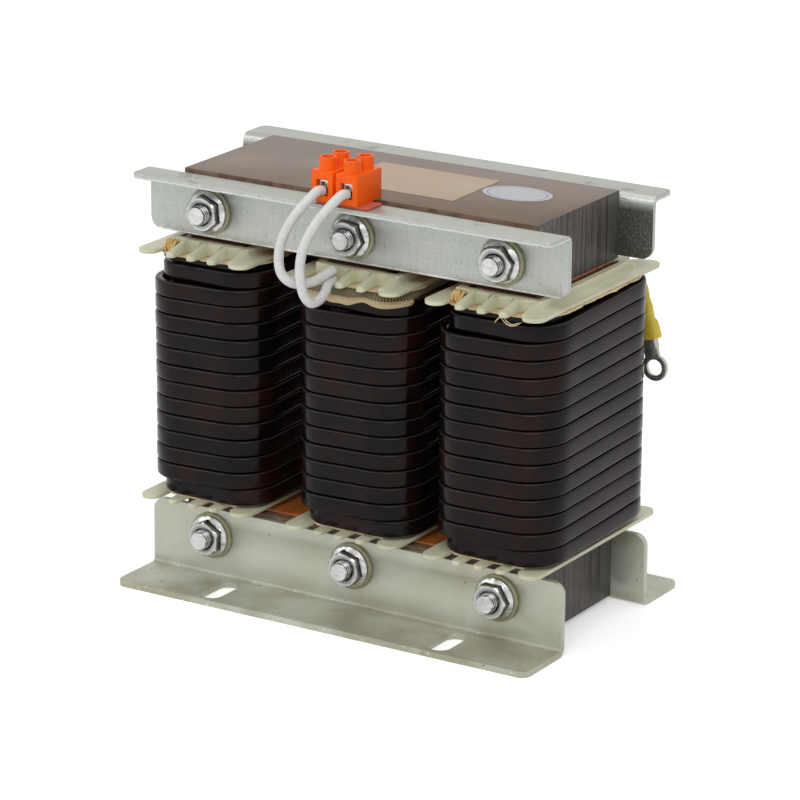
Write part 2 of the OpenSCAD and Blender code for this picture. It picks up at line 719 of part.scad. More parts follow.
// Ring lug: round palm with its hole, a neck and a flattened barrel
module lug() {
    difference() {
        union() {
            rod_y(lug_palm_w, 0, -lug_palm_t / 2, lug_palm_t / 2, 0);
            bar(-cond_h / 2, cond_h / 2, -lug_palm_t / 2, lug_palm_t / 2, 0, palm_len);
            bar(-cond_h / 2, cond_h / 2, -cond_t / 2, cond_t / 2, palm_len, palm_len + barrel_len);
        }
        rod_y(lug_hole_d, 0, -lug_palm_t / 2 - over, lug_palm_t / 2 + over, 0);
    }
}

module lugs(side) { color([0.62, 0.60, 0.52]) for (hand = [-1, 1]) hanging(side, hand) lug(); }

module left_lugs() lugs(-1);
module middle_lugs() lugs(0);
module right_lugs() lugs(1);

// Terminal block on the front upper flange
block_front = -upper_edge + block_setback;
block_back = block_front + block_depth;
block_bottom = core_top;
block_top = block_bottom + block_h;
tower_top = block_top + tower_h;
// How far the screw towers stay behind the block's front and rear faces
tower_setback = 0.8;
screw_inset = tower_d / 2 + tower_setback;
entry_w = 5.2;
entry_h = 6.2;
block_floor = 2.4;
entry_bottom = block_bottom + block_floor;
web_setback = 2;
web_drop = 3;
cage_wall = 0.8;
cage_inset = 1.6;
cage_w = entry_w - 2 * hole_gap;
cage_h = entry_h - 2 * hole_gap;
cage_bottom = entry_bottom + hole_gap;
tower_bore_d = 5;
function pole_x(hand) = block_x + hand * pole_pitch / 2;
function screw_y(face) = face < 0 ? block_front + screw_inset : block_back - screw_inset;

module terminal_block() {
    color([0.93, 0.34, 0.08]) difference() {
        union() {
            for (hand = [-1, 1]) {
                bar(pole_x(hand) - pole_w / 2, pole_x(hand) + pole_w / 2, block_front, block_back,
                    block_bottom, block_top);
                for (face = [-1, 1]) translate([pole_x(hand), screw_y(face), block_top])
                    cylinder(d = tower_d, h = tower_h);
            }
            bar(pole_x(-1), pole_x(1), block_front + web_setback, block_back - web_setback,
                block_bottom, block_top - web_drop);
        }
        for (hand = [-1, 1]) {
            bar(pole_x(hand) - entry_w / 2, pole_x(hand) + entry_w / 2,
                block_front - over, block_back + over,
                entry_bottom, entry_bottom + entry_h);
            for (face = [-1, 1]) translate([pole_x(hand), screw_y(face), entry_bottom + entry_h / 2])
                cylinder(d = tower_bore_d, h = block_h + tower_h);
        }
    }
}

// Plated cage in each pole, with a threaded hole for each screw in its top wall
module terminal_cages() {
    color([0.78, 0.76, 0.70]) for (hand = [-1, 1]) translate([pole_x(hand), 0, cage_bottom]) difference() {
        bar(-cage_w / 2, cage_w / 2, block_front + cage_inset, block_back - cage_inset, 0, cage_h);
        bar(cage_wall - cage_w / 2, cage_w / 2 - cage_wall, block_front, block_back,
            cage_wall, cage_h - cage_wall);
        for (face = [-1, 1]) translate([0, screw_y(face), cage_h / 2])
            cylinder(d = screw_d + 2 * screw_gap, h = cage_h);
    }
}

// Clearance round the screws' threads
screw_gap = 0.1;
plate_t = 0.8;
plate_w = cage_w - 2 * cage_wall - 2 * hole_gap;
plate_len = 4.4;
// The pressure plate rests on the bare wire of the lead
plate_bottom = cage_bottom + cage_wall + wire_d + screw_gap;
// Clearance between a screw's tip and its plate
tip_gap = 0.05;
screw_bottom = plate_bottom + plate_t + tip_gap;
screw_head_d = 4.4;
screw_head_h = 1.8;
// Height of the heads' undersides above the top of the poles
head_rise = 0.6;
head_seat = block_top + head_rise;
head_slot_w = 0.8;
head_slot_depth = 0.9;

module pressure_plate(hand, face) {
    color([0.80, 0.80, 0.78]) translate([pole_x(hand), screw_y(face), plate_bottom])
        bar(-plate_w / 2, plate_w / 2, -plate_len / 2, plate_len / 2, 0, plate_t);
}

module terminal_screw(hand, face) {
    color([0.82, 0.82, 0.80]) translate([pole_x(hand), screw_y(face), 0]) difference() {
        union() {
            translate([0, 0, screw_bottom]) cylinder(d = screw_d, h = head_seat - screw_bottom);
            translate([0, 0, head_seat]) cylinder(d = screw_head_d, h = screw_head_h);
        }
        bar(-screw_head_d, screw_head_d, -head_slot_w / 2, head_slot_w / 2,
            head_seat + screw_head_h - head_slot_depth, head_seat + screw_head_h + over);
    }
}

module front_left_plate() pressure_plate(-1, -1);
module front_right_plate() pressure_plate(1, -1);
module rear_left_plate() pressure_plate(-1, 1);
module rear_right_plate() pressure_plate(1, 1);
module front_left_screw() terminal_screw(-1, -1);
module front_right_screw() terminal_screw(1, -1);
module rear_left_screw() terminal_screw(-1, 1);
module rear_right_screw() terminal_screw(1, 1);

// Adhesive pad between the block and the flange; it sticks out to the right
pad_left_inset = 2;
pad_right_out = 4.5;
pad_setback = 0.4;
module adhesive_pad() {
    color([0.70, 0.25, 0.18])
        bar(pole_x(-1) - pole_w / 2 + pad_left_inset, pole_x(1) + pole_w / 2 + pad_right_out,
        block_front + pad_setback, -core_half - upper_t - bend_r, flange_top, block_bottom);
}

// Thermal switch in the top of the middle coil, and its two sleeved leads
switch_w = 8;
switch_t = 3.4;
switch_h = 20;
switch_x = coil_x(0) + (finger_x(0) + finger_x(1)) / 2;
switch_y = -comb_root - wire_d / 2 - hole_gap;
// How far the switch lies below the top of the winding
switch_drop = 3;
switch_top = wind_top - switch_drop;

module thermal_switch() {
    color([0.20, 0.20, 0.20]) bar(switch_x - switch_w / 2, switch_x + switch_w / 2,
        switch_y - switch_t / 2, switch_y + switch_t / 2, switch_top - switch_h, switch_top);
}

// Route points of the two leads, chosen by eye from the terminal block to the coil
left_route = [[-6.4, -45.6, 173], [-6.8, -48.4, 173.2], [-9.2, -52.6, 169.4], [-13, -56.4, 163],
    [-16.2, -58.4, 155.6], [-17.2, -59.6, 148.4], [-15.4, -60.4, 142], [-11.6, -58.8, 138.6],
    [-6.8, -53, 138.2], [-5, -48, 139.6], [-3.8, -44.6, 140.8], [-3.4, -42.6, 141.2]];
right_route = [[4.6, -45.6, 173], [4.2, -48.4, 173.2], [1.6, -53.4, 169], [-2.2, -57.4, 162.4],
    [-5.2, -60, 154.8], [-6.2, -61.6, 147.4], [-5, -62.8, 140.4], [-3.8, -62.4, 135.6], [-2.4, -60, 132.4],
    [-1.4, -56, 132.6], [-1.8, -51, 134.4], [-3.1, -46.8, 136.4], [-3.3, -42.6, 137.1]];
lead_sides = 8;

// Path of a lead from the terminal block to the switch, as points with diameters: bare wire, tube, bare wire
function lead_path(route, hand) =
    let (wire_x = route[0][0], wire_z = cage_bottom + cage_wall + wire_d / 2,
        tube_end = route[len(route) - 1],
        switch_end_x = switch_x + hand * switch_w / 5)
    concat([[[wire_x, screw_y(-1) + plate_len / 2, wire_z], wire_d],
            [[wire_x, block_front + cage_inset, wire_z], wire_d], [route[0], wire_d]],
        [for (p = route) [p, lead_d]],
        [[tube_end, wire_d], [[switch_end_x, switch_y, upper_frame_top], wire_d],
            [[switch_end_x, switch_y, switch_top], wire_d]]);

function unit(v) = v / norm(v);
// Heading at station i: from the last station that lies elsewhere to the next one that does
function heading(path, i) =
    let (before = max(i - 1, 0), after = min(i + 1, len(path) - 1))
    unit(path[after][0] - path[before][0]);
// Ring of a round tube: across lies square to the heading and to X, rise square to both
function lead_ring(station, t) =
    let (across = unit(cross(t, [1, 0, 0])), rise = cross(across, t))
    [for (k = [0 : lead_sides - 1]) let (a = 360 * k / lead_sides)
        station[0] + station[1] / 2 * (cos(a) * across + sin(a) * rise)];

module switch_lead(route, hand) {
    path = lead_path(route, hand);
    rings = [for (i = [0 : len(path) - 1]) each lead_ring(path[i], heading(path, i))];
    color([0.90, 0.90, 0.88])
        polyhedron(points = rings, faces = tube_faces(len(path), lead_sides), convexity = 6);
}

module left_switch_lead() switch_lead(left_route, -1);
module right_switch_lead() switch_lead(right_route, 1);

// Blank labels on the top of the core; the oval one sits near the right end, the other one beside it
label_t = 0.15;
label_w = 54;
label_d = 36;
label_gap = 0.8;
oval_w = 29;
oval_d = 20;
oval_end = 15.5;
oval_x = core_len / 2 - oval_end - oval_w / 2;
oval_y = 5;
label_x = oval_x - oval_w / 2 - label_gap - label_w / 2;

module rating_label() {
    color([0.78, 0.68, 0.54]) bar(label_x - label_w / 2, label_x + label_w / 2, -label_d / 2, label_d / 2,
        core_top, core_top + label_t);
}

module round_label() {
    color([0.78, 0.80, 0.84]) translate([oval_x, oval_y, core_top]) scale([oval_w / oval_d, 1, 1])
        cylinder(d = oval_d, h = label_t);
}

front_upper_clamp();
rear_upper_clamp();
front_foot_clamp();
rear_foot_clamp();
upper_yoke();
lower_yoke();
left_limb();
middle_limb();
right_limb();
gap_spacers();
gap_sheets();
left_upper_frame();
middle_upper_frame();
right_upper_frame();
left_lower_frame();
middle_lower_frame();
right_lower_frame();
left_former();
middle_former();
right_former();
left_inner_winding();
middle_inner_winding();
right_inner_winding();
left_outer_winding();
middle_outer_winding();
right_outer_winding();
paper_collars();
binding_tape();
binding_cords();
left_lead_bars();
middle_lead_bars();
right_lead_bars();
left_lead_sleeves();
middle_lead_sleeves();
right_lead_sleeves();
left_lugs();
middle_lugs();
right_lugs();
clamp_bolts();
bolt_sleeves();
insulating_washers();
flange_nuts();
terminal_block();
terminal_cages();
adhesive_pad();
front_left_plate();
front_right_plate();
rear_left_plate();
rear_right_plate();
front_left_screw();
front_right_screw();
rear_left_screw();
rear_right_screw();
thermal_switch();
left_switch_lead();
right_switch_lead();
rating_label();
round_label();
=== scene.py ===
"""Looks of a three-limb series reactor: flat-wire coils, laminated core, angle clamps and their small parts."""
import json
import math

import bmesh
import bpy
import numpy as np
from mathutils import Matrix, Vector


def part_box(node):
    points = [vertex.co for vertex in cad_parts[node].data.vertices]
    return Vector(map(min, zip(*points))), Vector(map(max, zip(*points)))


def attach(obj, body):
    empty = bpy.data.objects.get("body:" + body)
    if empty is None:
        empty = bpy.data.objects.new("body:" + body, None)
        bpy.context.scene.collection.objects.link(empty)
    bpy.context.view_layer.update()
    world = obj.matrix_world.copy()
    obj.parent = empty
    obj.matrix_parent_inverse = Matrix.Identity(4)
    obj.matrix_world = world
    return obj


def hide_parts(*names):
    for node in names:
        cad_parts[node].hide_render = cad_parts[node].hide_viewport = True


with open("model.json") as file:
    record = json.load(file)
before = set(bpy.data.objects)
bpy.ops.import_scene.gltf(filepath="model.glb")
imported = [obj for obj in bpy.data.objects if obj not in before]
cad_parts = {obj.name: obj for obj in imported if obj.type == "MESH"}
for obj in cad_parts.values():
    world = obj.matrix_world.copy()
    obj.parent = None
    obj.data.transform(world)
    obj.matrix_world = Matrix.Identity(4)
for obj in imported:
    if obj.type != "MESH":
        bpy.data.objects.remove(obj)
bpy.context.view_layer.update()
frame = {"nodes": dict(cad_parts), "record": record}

BODY = "reactor"
MM = 0.001
TURN = 2 * math.pi
SIDES = {"left": -1, "middle": 0, "right": 1}
SHARP = math.radians(35)

# Sizes in metres, read from the frame where a node holds them
conductor_t = 3.0 * MM
conductor_h = 6.4 * MM
layer_step = 3.5 * MM
conductor_edge_r = 0.95 * MM
corner_r = 16.0 * MM
turns = 13
lead_d = 3.8 * MM


def box(node):
    """Lowest and highest corner of a node as arrays."""
    low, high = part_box(node)
    return np.array(low), np.array(high)


def middle_x(node):
    """X of the middle of a node."""
    low, high = box(node)
    return (low[0] + high[0]) / 2


limb_pitch = middle_x("right_limb")
coil_x = {name: middle_x(name + "_former") for name in SIDES}
coil_low, coil_high = box("middle_outer_winding")
coil_half_w = (coil_high[0] - coil_low[0]) / 2
coil_half_d = coil_high[1]
flange_top = box("front_upper_clamp")[1][2]
core_top = box("upper_yoke")[1][2]
core_half = box("upper_yoke")[1][1]
core_end = box("upper_yoke")[1][0]
frame_low, frame_top = (corner[2] for corner in box("left_upper_frame"))
comb_root = core_half + 3.2 * MM


# Camera at the photograph's place
def place_camera():
    """Camera solved from the clamps' edges: place, azimuth, elevation and roll, with a small shift."""
    place = Vector((0.82041, -1.32091, 0.57358))
    azimuth, elevation, roll = (math.radians(a) for a in (31.836, 17.647, 0.363))
    forward = Vector((-math.sin(azimuth) * math.cos(elevation), math.cos(azimuth) * math.cos(elevation),
                      -math.sin(elevation)))
    level = Vector((math.cos(azimuth), math.sin(azimuth), 0))
    upward = level.cross(forward)
    right = math.cos(roll) * level + math.sin(roll) * upward
    up = math.cos(roll) * upward - math.sin(roll) * level
    data = bpy.data.cameras.new("camera")
    data.sensor_width = 36
    data.lens = 185.64
    data.shift_x = 0.0008
    data.shift_y = -0.0024
    data.clip_end = 20
    camera = bpy.data.objects.new("camera", data)
    turn = Matrix((right, up, -forward)).transposed().to_4x4()
    camera.matrix_world = Matrix.Translation(place) @ turn
    bpy.context.scene.collection.objects.link(camera)
    bpy.context.scene.camera = camera


place_camera()


# Meshes
def dress(name, mesh, slot, nodes=()):
    """Piece at the origin with its mesh and the finish of a slot, shaded softly between sharp edges. It rides on
    the body and stands for some nodes."""
    obj = bpy.data.objects.new(name, mesh)
    bpy.context.scene.collection.objects.link(obj)
    mesh.materials.clear()
    mesh.materials.append(materials[slot])
    mesh.polygons.foreach_set("use_smooth", np.ones(len(mesh.polygons), bool))
    mesh.set_sharp_from_angle(angle=SHARP)
    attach(obj, BODY)
    if nodes:
        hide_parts(*nodes)
    return obj


def piece(name, verts, faces, slot, nodes=()):
    """A new piece from vertices and faces, with its faces turned outward."""
    mesh = bpy.data.meshes.new(name)
    mesh.from_pydata(np.asarray(verts).tolist(), [], faces)
    mesh.validate()
    work = bmesh.new()
    work.from_mesh(mesh)
    bmesh.ops.recalc_face_normals(work, faces=work.faces)
    work.to_mesh(mesh)
    work.free()
    return dress(name, mesh, slot, nodes)


def grid_faces(rows, cols, close_rows=False):
    """Quads between neighbouring rows and columns of a grid of points; the last column meets the first."""
    i, j = np.meshgrid(np.arange(rows if close_rows else rows - 1), np.arange(cols), indexing="ij")
    a = i * cols + j
    b = i * cols + (j + 1) % cols
    d = ((i + 1) % rows) * cols + j
    e = ((i + 1) % rows) * cols + (j + 1) % cols
    return np.stack([a, b, e, d], -1).reshape(-1, 4).tolist()


def tube(points):
    """Closed tube from rings of points, rows along it, with a flat face at each end."""
    rows, cols = points.shape[:2]
    faces = grid_faces(rows, cols)
    faces.append(list(range(cols))[::-1])
    faces.append(list(range((rows - 1) * cols, rows * cols)))
    return points.reshape(-1, 3), faces


def ring_shell(points):
    """Closed shell from rows that meet again: faces round both ways."""
    rows, cols = points.shape[:2]
    return points.reshape(-1, 3), grid_faces(rows, cols, close_rows=True)


def join(shells):
    """Several closed shells, each vertices and faces, as one list of vertices and faces."""
    verts, faces, start = [], [], 0
    for v, f in shells:
        verts.append(np.asarray(v))
        faces += [[k + start for k in face] for face in f]
        start += len(v)
    return np.concatenate(verts), faces


def mark(obj, name, values):
    """Keep a value of each point with the mesh."""
    layer = obj.data.attributes.new(name, "FLOAT", "POINT")
    layer.data.foreach_set("value", np.concatenate([v.ravel() for v in values]))


def softened(node, width, segments=2):
    """A copy of a node with its doubles merged, its flat faces joined and its sharp edges rounded."""
    mesh = frame["nodes"][node].data.copy()
    mesh.name = node + "_soft"
    work = bmesh.new()
    work.from_mesh(mesh)
    bmesh.ops.remove_doubles(work, verts=work.verts, dist=0.002 * MM)
    bmesh.ops.dissolve_limit(work, angle_limit=math.radians(0.6), verts=work.verts, edges=work.edges)
    sharp = [e for e in work.edges if len(e.link_faces) == 2 and e.calc_face_angle(0) > SHARP]
    bmesh.ops.bevel(work, geom=sharp, offset=width, offset_type="OFFSET", segments=segments, profile=0.5,
                    affect="EDGES", clamp_overlap=True)
    bmesh.ops.triangulate(work, faces=[f for f in work.faces if len(f.verts) > 4])
    work.to_mesh(mesh)
    work.free()
    dress(node + "_soft", mesh, slot_of[node], [node])


# Materials
class Finish:
    """A material under construction: makes nodes, links what is a socket and sets what is a value."""

    def __init__(self, name, **constants):
        self.material = bpy.data.materials.new(name)
        self.material.use_nodes = True
        self.tree = self.material.node_tree
        self.shader = self.tree.nodes["Principled BSDF"]
        self.coords = self.tree.nodes.new("ShaderNodeTexCoord").outputs["Object"]
        for key, value in constants.items():
            self.set(key.replace("_", " ").title().replace("Ior", "IOR"), value)

    def set(self, socket, value):
        """Shader input by its name, as a constant or a link."""
        self.feed(self.shader.inputs[socket], value)

    def feed(self, socket, value):
        """Link a socket or set its value."""
        if isinstance(value, bpy.types.NodeSocket):
            self.tree.links.new(value, socket)
        elif isinstance(value, tuple) and len(value) == 3 and len(socket.default_value) == 4:
            socket.default_value = (*value, 1)
        else:
            socket.default_value = value

    def add(self, kind, settings=None, **inputs):
        """New node of a kind with settings and inputs; names of inputs may be positions such as i0."""
        made = self.tree.nodes.new(kind)
        for key, value in (settings or {}).items():
            setattr(made, key, value)
        for key, value in inputs.items():
            place = int(key[1:]) if key[0] == "i" and key[1:].isdigit() else key.replace("_", " ").title()
            self.feed(made.inputs[place], value)
        return made

    def noise(self, scale, detail=3, roughness=0.5, stretch=(1, 1, 1), distortion=0.0):
        """Noise from 0 to 1 at a scale per metre, finer along an axis whose stretch is over 1."""
        mapping = self.add("ShaderNodeMapping", vector=self.coords)
        mapping.inputs["Scale"].default_value = stretch
        return self.add("ShaderNodeTexNoise", vector=mapping.outputs[0], scale=scale, detail=detail,
                        roughness=roughness, distortion=distortion).outputs[0]

    def level(self, value, low, high, out_low=0.0, out_high=1.0):
        """Value carried from one range to another, held at its ends."""
        made = self.tree.nodes.new("ShaderNodeMapRange")
        for place, v in zip(("Value", "From Min", "From Max", "To Min", "To Max"),
                            (value, low, high, out_low, out_high)):
            self.feed(made.inputs[place], v)
        return made.outputs["Result"]

    def math(self, operation, a, b=0.0):
        """Result of an operation on one or two values."""
        return self.add("ShaderNodeMath", {"operation": operation}, i0=a, i1=b).outputs[0]

    def blend(self, share, a, b):
        """Colour between a and b."""
        made = self.tree.nodes.new("ShaderNodeMix")
        made.data_type = "RGBA"
        self.feed(made.inputs[0], share)
        self.feed(made.inputs[6], a)
        self.feed(made.inputs[7], b)
        return made.outputs[2]

    def axis(self, name):
        """One of the object coordinates, in metres."""
        return self.add("ShaderNodeSeparateXYZ", i0=self.coords).outputs[name]

    def facing(self):
        """Direction that the surface faces, as three sockets."""
        return self.add("ShaderNodeSeparateXYZ", i0=self.add("ShaderNodeNewGeometry").outputs["Normal"]).outputs

    def attribute(self, name):
        """Value that a mesh keeps for each point."""
        return self.add("ShaderNodeAttribute", {"attribute_name": name}).outputs["Fac"]

    def from_line(self, value, place):
        """Distance of a value from a place."""
        return self.math("ABSOLUTE", self.math("SUBTRACT", value, place))

    def bump(self, height, strength, distance):
        """Relief from a height value."""
        made = self.add("ShaderNodeBump", height=height, strength=strength, distance=distance)
        self.set("Normal", made.outputs[0])


def zinc_sheet():
    """Zinc plated sheet: even pale grey with a fine mottled grain, faint drawing lines and a few scratches. Rim
    and fold carry a painted highlight, with a painted shadow in spots under the fold, stains on top, top faces
    painted one flat darker grey as shade, and an inner face of the rear clamp with less metal and a painted dark
    reflection."""
    fold_z, fold_shadow_z, sheet_low = flange_top - 1.5 * MM, flange_top - 2.1 * MM, box("front_upper_clamp")[0][2]
    f = Finish("zinc_sheet")
    grain = f.noise(1400, 2, 0.6, (1, 1, 0.6))
    lines = f.noise(60, 3, 0.6, (9, 9, 1))
    clouds = f.noise(28, 3)
    shade = f.blend(f.level(grain, 0.3, 0.7), (0.35, 0.37, 0.34), (0.46, 0.48, 0.45))
    shade = f.blend(f.level(lines, 0.4, 0.7, 0, 0.25), shade, (0.56, 0.575, 0.55))
    shade = f.blend(f.level(clouds, 0.45, 0.7, 0, 0.3), shade, (0.42, 0.43, 0.37))
    scratch = f.level(f.noise(420, 1, 0.4, (6, 6, 0.8)), 0.745, 0.78, 0, 0.8)
    shade = f.blend(scratch, shade, (0.10, 0.10, 0.09))
    z, y = f.axis("Z"), f.axis("Y")
    facing = f.facing()
    ragged = f.math("MULTIPLY", f.math("SUBTRACT", f.noise(500, 2), 0.5), 1.2 * MM)
    height = f.math("ADD", z, ragged)
    # painted highlight along the bottom rim and along the fold of the sheet
    rim = f.level(height, sheet_low + 0.45 * MM, sheet_low + 0.75 * MM, 1, 0)
    fold = f.level(f.from_line(height, fold_z), 0.12 * MM, 0.4 * MM, 0.5, 0)
    shade = f.blend(f.math("MAXIMUM", rim, fold), shade, (0.74, 0.75, 0.72))
    # painted shadow under the flange's fold, broken into spots
    fold_shadow = f.level(f.from_line(height, fold_shadow_z), 0.05 * MM, 0.3 * MM, 1, 0)
    fold_shadow = f.math("MULTIPLY", fold_shadow, f.level(f.noise(260, 2, 0.6, (1, 1, 0.2)), 0.52, 0.62, 0, 0.75))
    shade = f.blend(fold_shadow, shade, (0.13, 0.13, 0.11))
    on_top = f.level(facing["Z"], 0.5, 0.9)
    # painted shade: faces that look upward are set to one flat darker grey
    shade = f.blend(on_top, shade, (0.40, 0.41, 0.37))
    stain = f.level(f.noise(75, 3, 0.6), 0.62, 0.67, 0, 0.5)
    shade = f.blend(f.math("MULTIPLY", stain, on_top), shade, (0.20, 0.16, 0.09))
    # painted dark reflection on the rear clamp's inner face, which is also made less metallic
    inner = f.math("MULTIPLY", f.level(facing["Y"], -0.9, -0.6, 1, 0), f.level(y, 0, 1 * MM))
    inner = f.math("MULTIPLY", inner, f.level(z, flange_top - 6 * MM, flange_top - 3 * MM, 1, 0))
    inner_dark_reflection = f.blend(f.level(grain, 0.45, 0.68), (0.055, 0.060, 0.050), (0.15, 0.155, 0.13))
    f.set("Base Color", f.blend(inner, shade, inner_dark_reflection))
    f.set("Metallic", f.level(inner, 0, 1, 0.75, 0.3))
    f.set("Roughness", f.level(grain, 0.3, 0.7, 0.38, 0.5))
    f.bump(grain, 0.16, 0.06 * MM)
    return f.material


def varnished_foot():
    """Zinc sheet under uneven clear varnish: olive patches, upright runs, yellow pools in the bend, pale drops
    and dark specks."""
    f = Finish("varnished_foot", coat_weight=0.25, coat_roughness=0.2)
    clouds = f.noise(22, 4, 0.55, distortion=0.6)
    shade = f.blend(f.level(clouds, 0.38, 0.62), (0.49, 0.50, 0.43), (0.42, 0.425, 0.34))
    runs = f.level(f.noise(55, 3, 0.55, (1, 1, 0.12)), 0.58, 0.66, 0, 0.2)
    shade = f.blend(runs, shade, (0.36, 0.33, 0.20))
    low = f.level(f.axis("Z"), 3.0 * MM, 7.0 * MM, 0.45, 0)
    pools = f.math("MULTIPLY", low, f.level(f.noise(40, 3), 0.4, 0.6))
    shade = f.blend(pools, shade, (0.22, 0.19, 0.08))
    on_flange = f.level(f.axis("Z"), 3 * MM, 4 * MM, 1, 0)
    drops = f.math("MULTIPLY", f.level(f.noise(420, 1), 0.70, 0.74, 0, 0.6), on_flange)
    shade = f.blend(drops, shade, (0.70, 0.69, 0.58))
    specks = f.level(f.noise(650, 1), 0.745, 0.78)
    f.set("Base Color", f.blend(specks, shade, (0.06, 0.05, 0.04)))
    f.set("Metallic", f.level(f.from_line(f.axis("Z"), 4 * MM), 1.0 * MM, 2.0 * MM, 0.0, 0.6))
    f.set("Roughness", f.level(clouds, 0.4, 0.6, 0.5, 0.38))
    f.bump(f.noise(160, 3), 0.12, 0.2 * MM)
    return f.material


def core_varnish():
    """Laminated core: brown varnish on top, edges of thin sheets as upright lines on the ends, with one parting
    line near the rear, and a dark front."""
    sheets_per_metre = 1600.0
    parting = 9.5 * MM
    f = Finish("core_varnish", coat_weight=0.05, coat_roughness=0.3, specular_ior_level=0.24)
    y = f.axis("Y")
    sheet = f.math("FRACT", f.math("MULTIPLY", y, sheets_per_metre))
    seam = f.level(f.from_line(sheet, 0.5), 0.25, 0.5)
    ragged = f.noise(620, 3, 0.65, (0.02, 1, 0.03))
    fleck = f.noise(900, 2, 0.6, (1, 1, 0.35))
    top = f.blend(f.level(f.noise(30, 3), 0.35, 0.65), (0.125, 0.082, 0.052), (0.165, 0.112, 0.074))
    end = f.blend(f.level(ragged, 0.38, 0.64), (0.030, 0.026, 0.023), (0.125, 0.112, 0.102))
    end = f.blend(f.level(fleck, 0.62, 0.72, 0, 0.6), end, (0.26, 0.24, 0.23))
    end = f.blend(f.math("MULTIPLY", seam, 0.7), end, (0.015, 0.013, 0.012))
    behind = f.level(f.math("ADD", y, parting), core_half - 0.2 * MM, core_half + 0.2 * MM, 0, 0.6)
    end = f.blend(behind, end, (0.085, 0.092, 0.082))
    gap = f.level(f.from_line(y, core_half - parting), 0.25 * MM, 0.6 * MM, 0.95, 0)
    end = f.blend(gap, end, (0.008, 0.007, 0.006))
    pale = f.math("MULTIPLY", f.level(y, -core_half, -core_half / 3, 0.55, 0), f.level(fleck, 0.4, 0.62))
    end = f.blend(pale, end, (0.30, 0.28, 0.27))
    rim = f.level(f.math("ABSOLUTE", f.axis("X")), core_end - 7 * MM, core_end, 0, 0.5)
    top = f.blend(rim, top, (0.085, 0.060, 0.045))
    edge = f.level(f.math("ABSOLUTE", y), core_half - 2.5 * MM, core_half, 0, 0.7)
    spots = f.level(f.noise(240, 3, 0.6), 0.46, 0.58)
    top = f.blend(f.math("MULTIPLY", edge, spots), top, (0.11, 0.085, 0.035))
    front = f.blend(f.level(f.noise(200, 2), 0.4, 0.6), (0.10, 0.055, 0.040), (0.17, 0.11, 0.08))
    facing = f.facing()
    on_top = f.level(facing["Z"], 0.5, 0.8)
    on_front = f.level(f.math("ABSOLUTE", facing["Y"]), 0.5, 0.8)
    f.set("Base Color", f.blend(on_top, f.blend(on_front, end, front), top))
    f.set("Roughness", f.level(on_top, 0, 1, 0.5, 0.36))
    return f.material


def enamel():
    """Flat conductor under baked varnish: nearly black with red-brown patches, a painted highlight where the edge
    value is high, half gloss."""
    f = Finish("enamel", specular_ior_level=0.10, coat_weight=0.06, coat_roughness=0.08)
    patches = f.noise(45, 4, 0.6)
    shade = f.blend(f.level(patches, 0.42, 0.62), (0.0034, 0.0024, 0.0024), (0.014, 0.0040, 0.0038))
    # painted highlight on the upper rounded edge of each turn, from the mesh value edge
    edge = f.math("MULTIPLY", f.attribute("edge"), 0.5)
    f.set("Base Color", f.blend(edge, shade, (0.085, 0.078, 0.075)))
    f.set("Roughness", f.level(f.noise(120, 3), 0.35, 0.65, 0.12, 0.26))
    f.bump(f.noise(260, 3, 0.5, (1, 1, 3)), 0.08, 0.1 * MM)
    return f.material


def moulded_cream():
    """Moulded frames: cream, slightly translucent, with faint clouding."""
    f = Finish("moulded_cream", subsurface_weight=0.2, subsurface_scale=2 * MM, roughness=0.36)
    f.set("Base Color", f.blend(f.level(f.noise(60, 3), 0.35, 0.65), (0.53, 0.53, 0.36), (0.63, 0.625, 0.46)))
    f.bump(f.noise(500, 2), 0.08, 0.05 * MM)
    return f.material


def woven():
    """Woven glass tape: raised crossing threads, beige on its lower half, an open olive mesh on its upper half,
    and a dark dotted fold between the two."""
    f = Finish("woven_tape", roughness=0.5, coat_weight=0.3, coat_roughness=0.25)
    band = f.add("ShaderNodeSeparateXYZ", i0=f.add("ShaderNodeUVMap", {"uv_map": "band"}).outputs[0]).outputs
    across, along = (f.math("SINE", f.math("MULTIPLY", band[name], TURN)) for name in "XY")
    weave = f.math("MULTIPLY", across, along)
    shade = f.blend(f.level(weave, -0.8, 0.5), (0.20, 0.14, 0.055), (0.58, 0.46, 0.25))
    upper = f.level(band["Y"], 2.3, 2.8)
    mesh_shade = f.blend(f.level(across, -0.7, 0.7), (0.075, 0.065, 0.032), (0.24, 0.20, 0.11))
    fold = f.math("MULTIPLY", f.level(band["Y"], 2.1, 2.3), f.level(band["Y"], 2.9, 2.6))
    dots = f.math("MULTIPLY", fold, f.level(across, 0.5, -0.5, 0.3, 0.9))
    f.set("Base Color", f.blend(dots, f.blend(upper, shade, mesh_shade), (0.022, 0.016, 0.008)))
    f.bump(weave, 0.5, 0.15 * MM)
    return f.material


def zinc_bright():
    """Bright zinc plate on nuts and bolts: mid grey metal with faint smears, with painted shade and painted dark
    reflections where the painted_shade_and_reflection value is high.
    """
    f = Finish("zinc_fasteners", metallic=1.0)
    smear = f.noise(240, 3, 0.5, (1, 1, 3))
    shade = f.blend(f.level(smear, 0.35, 0.65), (0.42, 0.43, 0.42), (0.60, 0.61, 0.60))
    # painted shade and painted dark reflections, from the mesh value
    f.set("Base Color", f.blend(f.attribute("painted_shade_and_reflection"), shade, (0.035, 0.035, 0.033)))
    f.set("Roughness", f.level(smear, 0.3, 0.7, 0.16, 0.30))
    return f.material


def oval_film():
    """White oval label with a thin blue line inside its edge."""
    f = Finish("white_label", roughness=0.4)
    low, high = box("round_label")
    squares = []
    for name, middle, half in zip("XY", (low + high) / 2, (high - low) / 2):
        part = f.math("DIVIDE", f.math("SUBTRACT", f.axis(name), float(middle)), float(half))
        squares.append(f.math("MULTIPLY", part, part))
    reach = f.math("SQRT", f.math("ADD", *squares))
    ring = f.level(f.from_line(reach, 0.86), 0.012, 0.024, 1, 0)
    f.set("Base Color", f.blend(ring, (0.40, 0.405, 0.425), (0.13, 0.16, 0.28)))
    return f.material


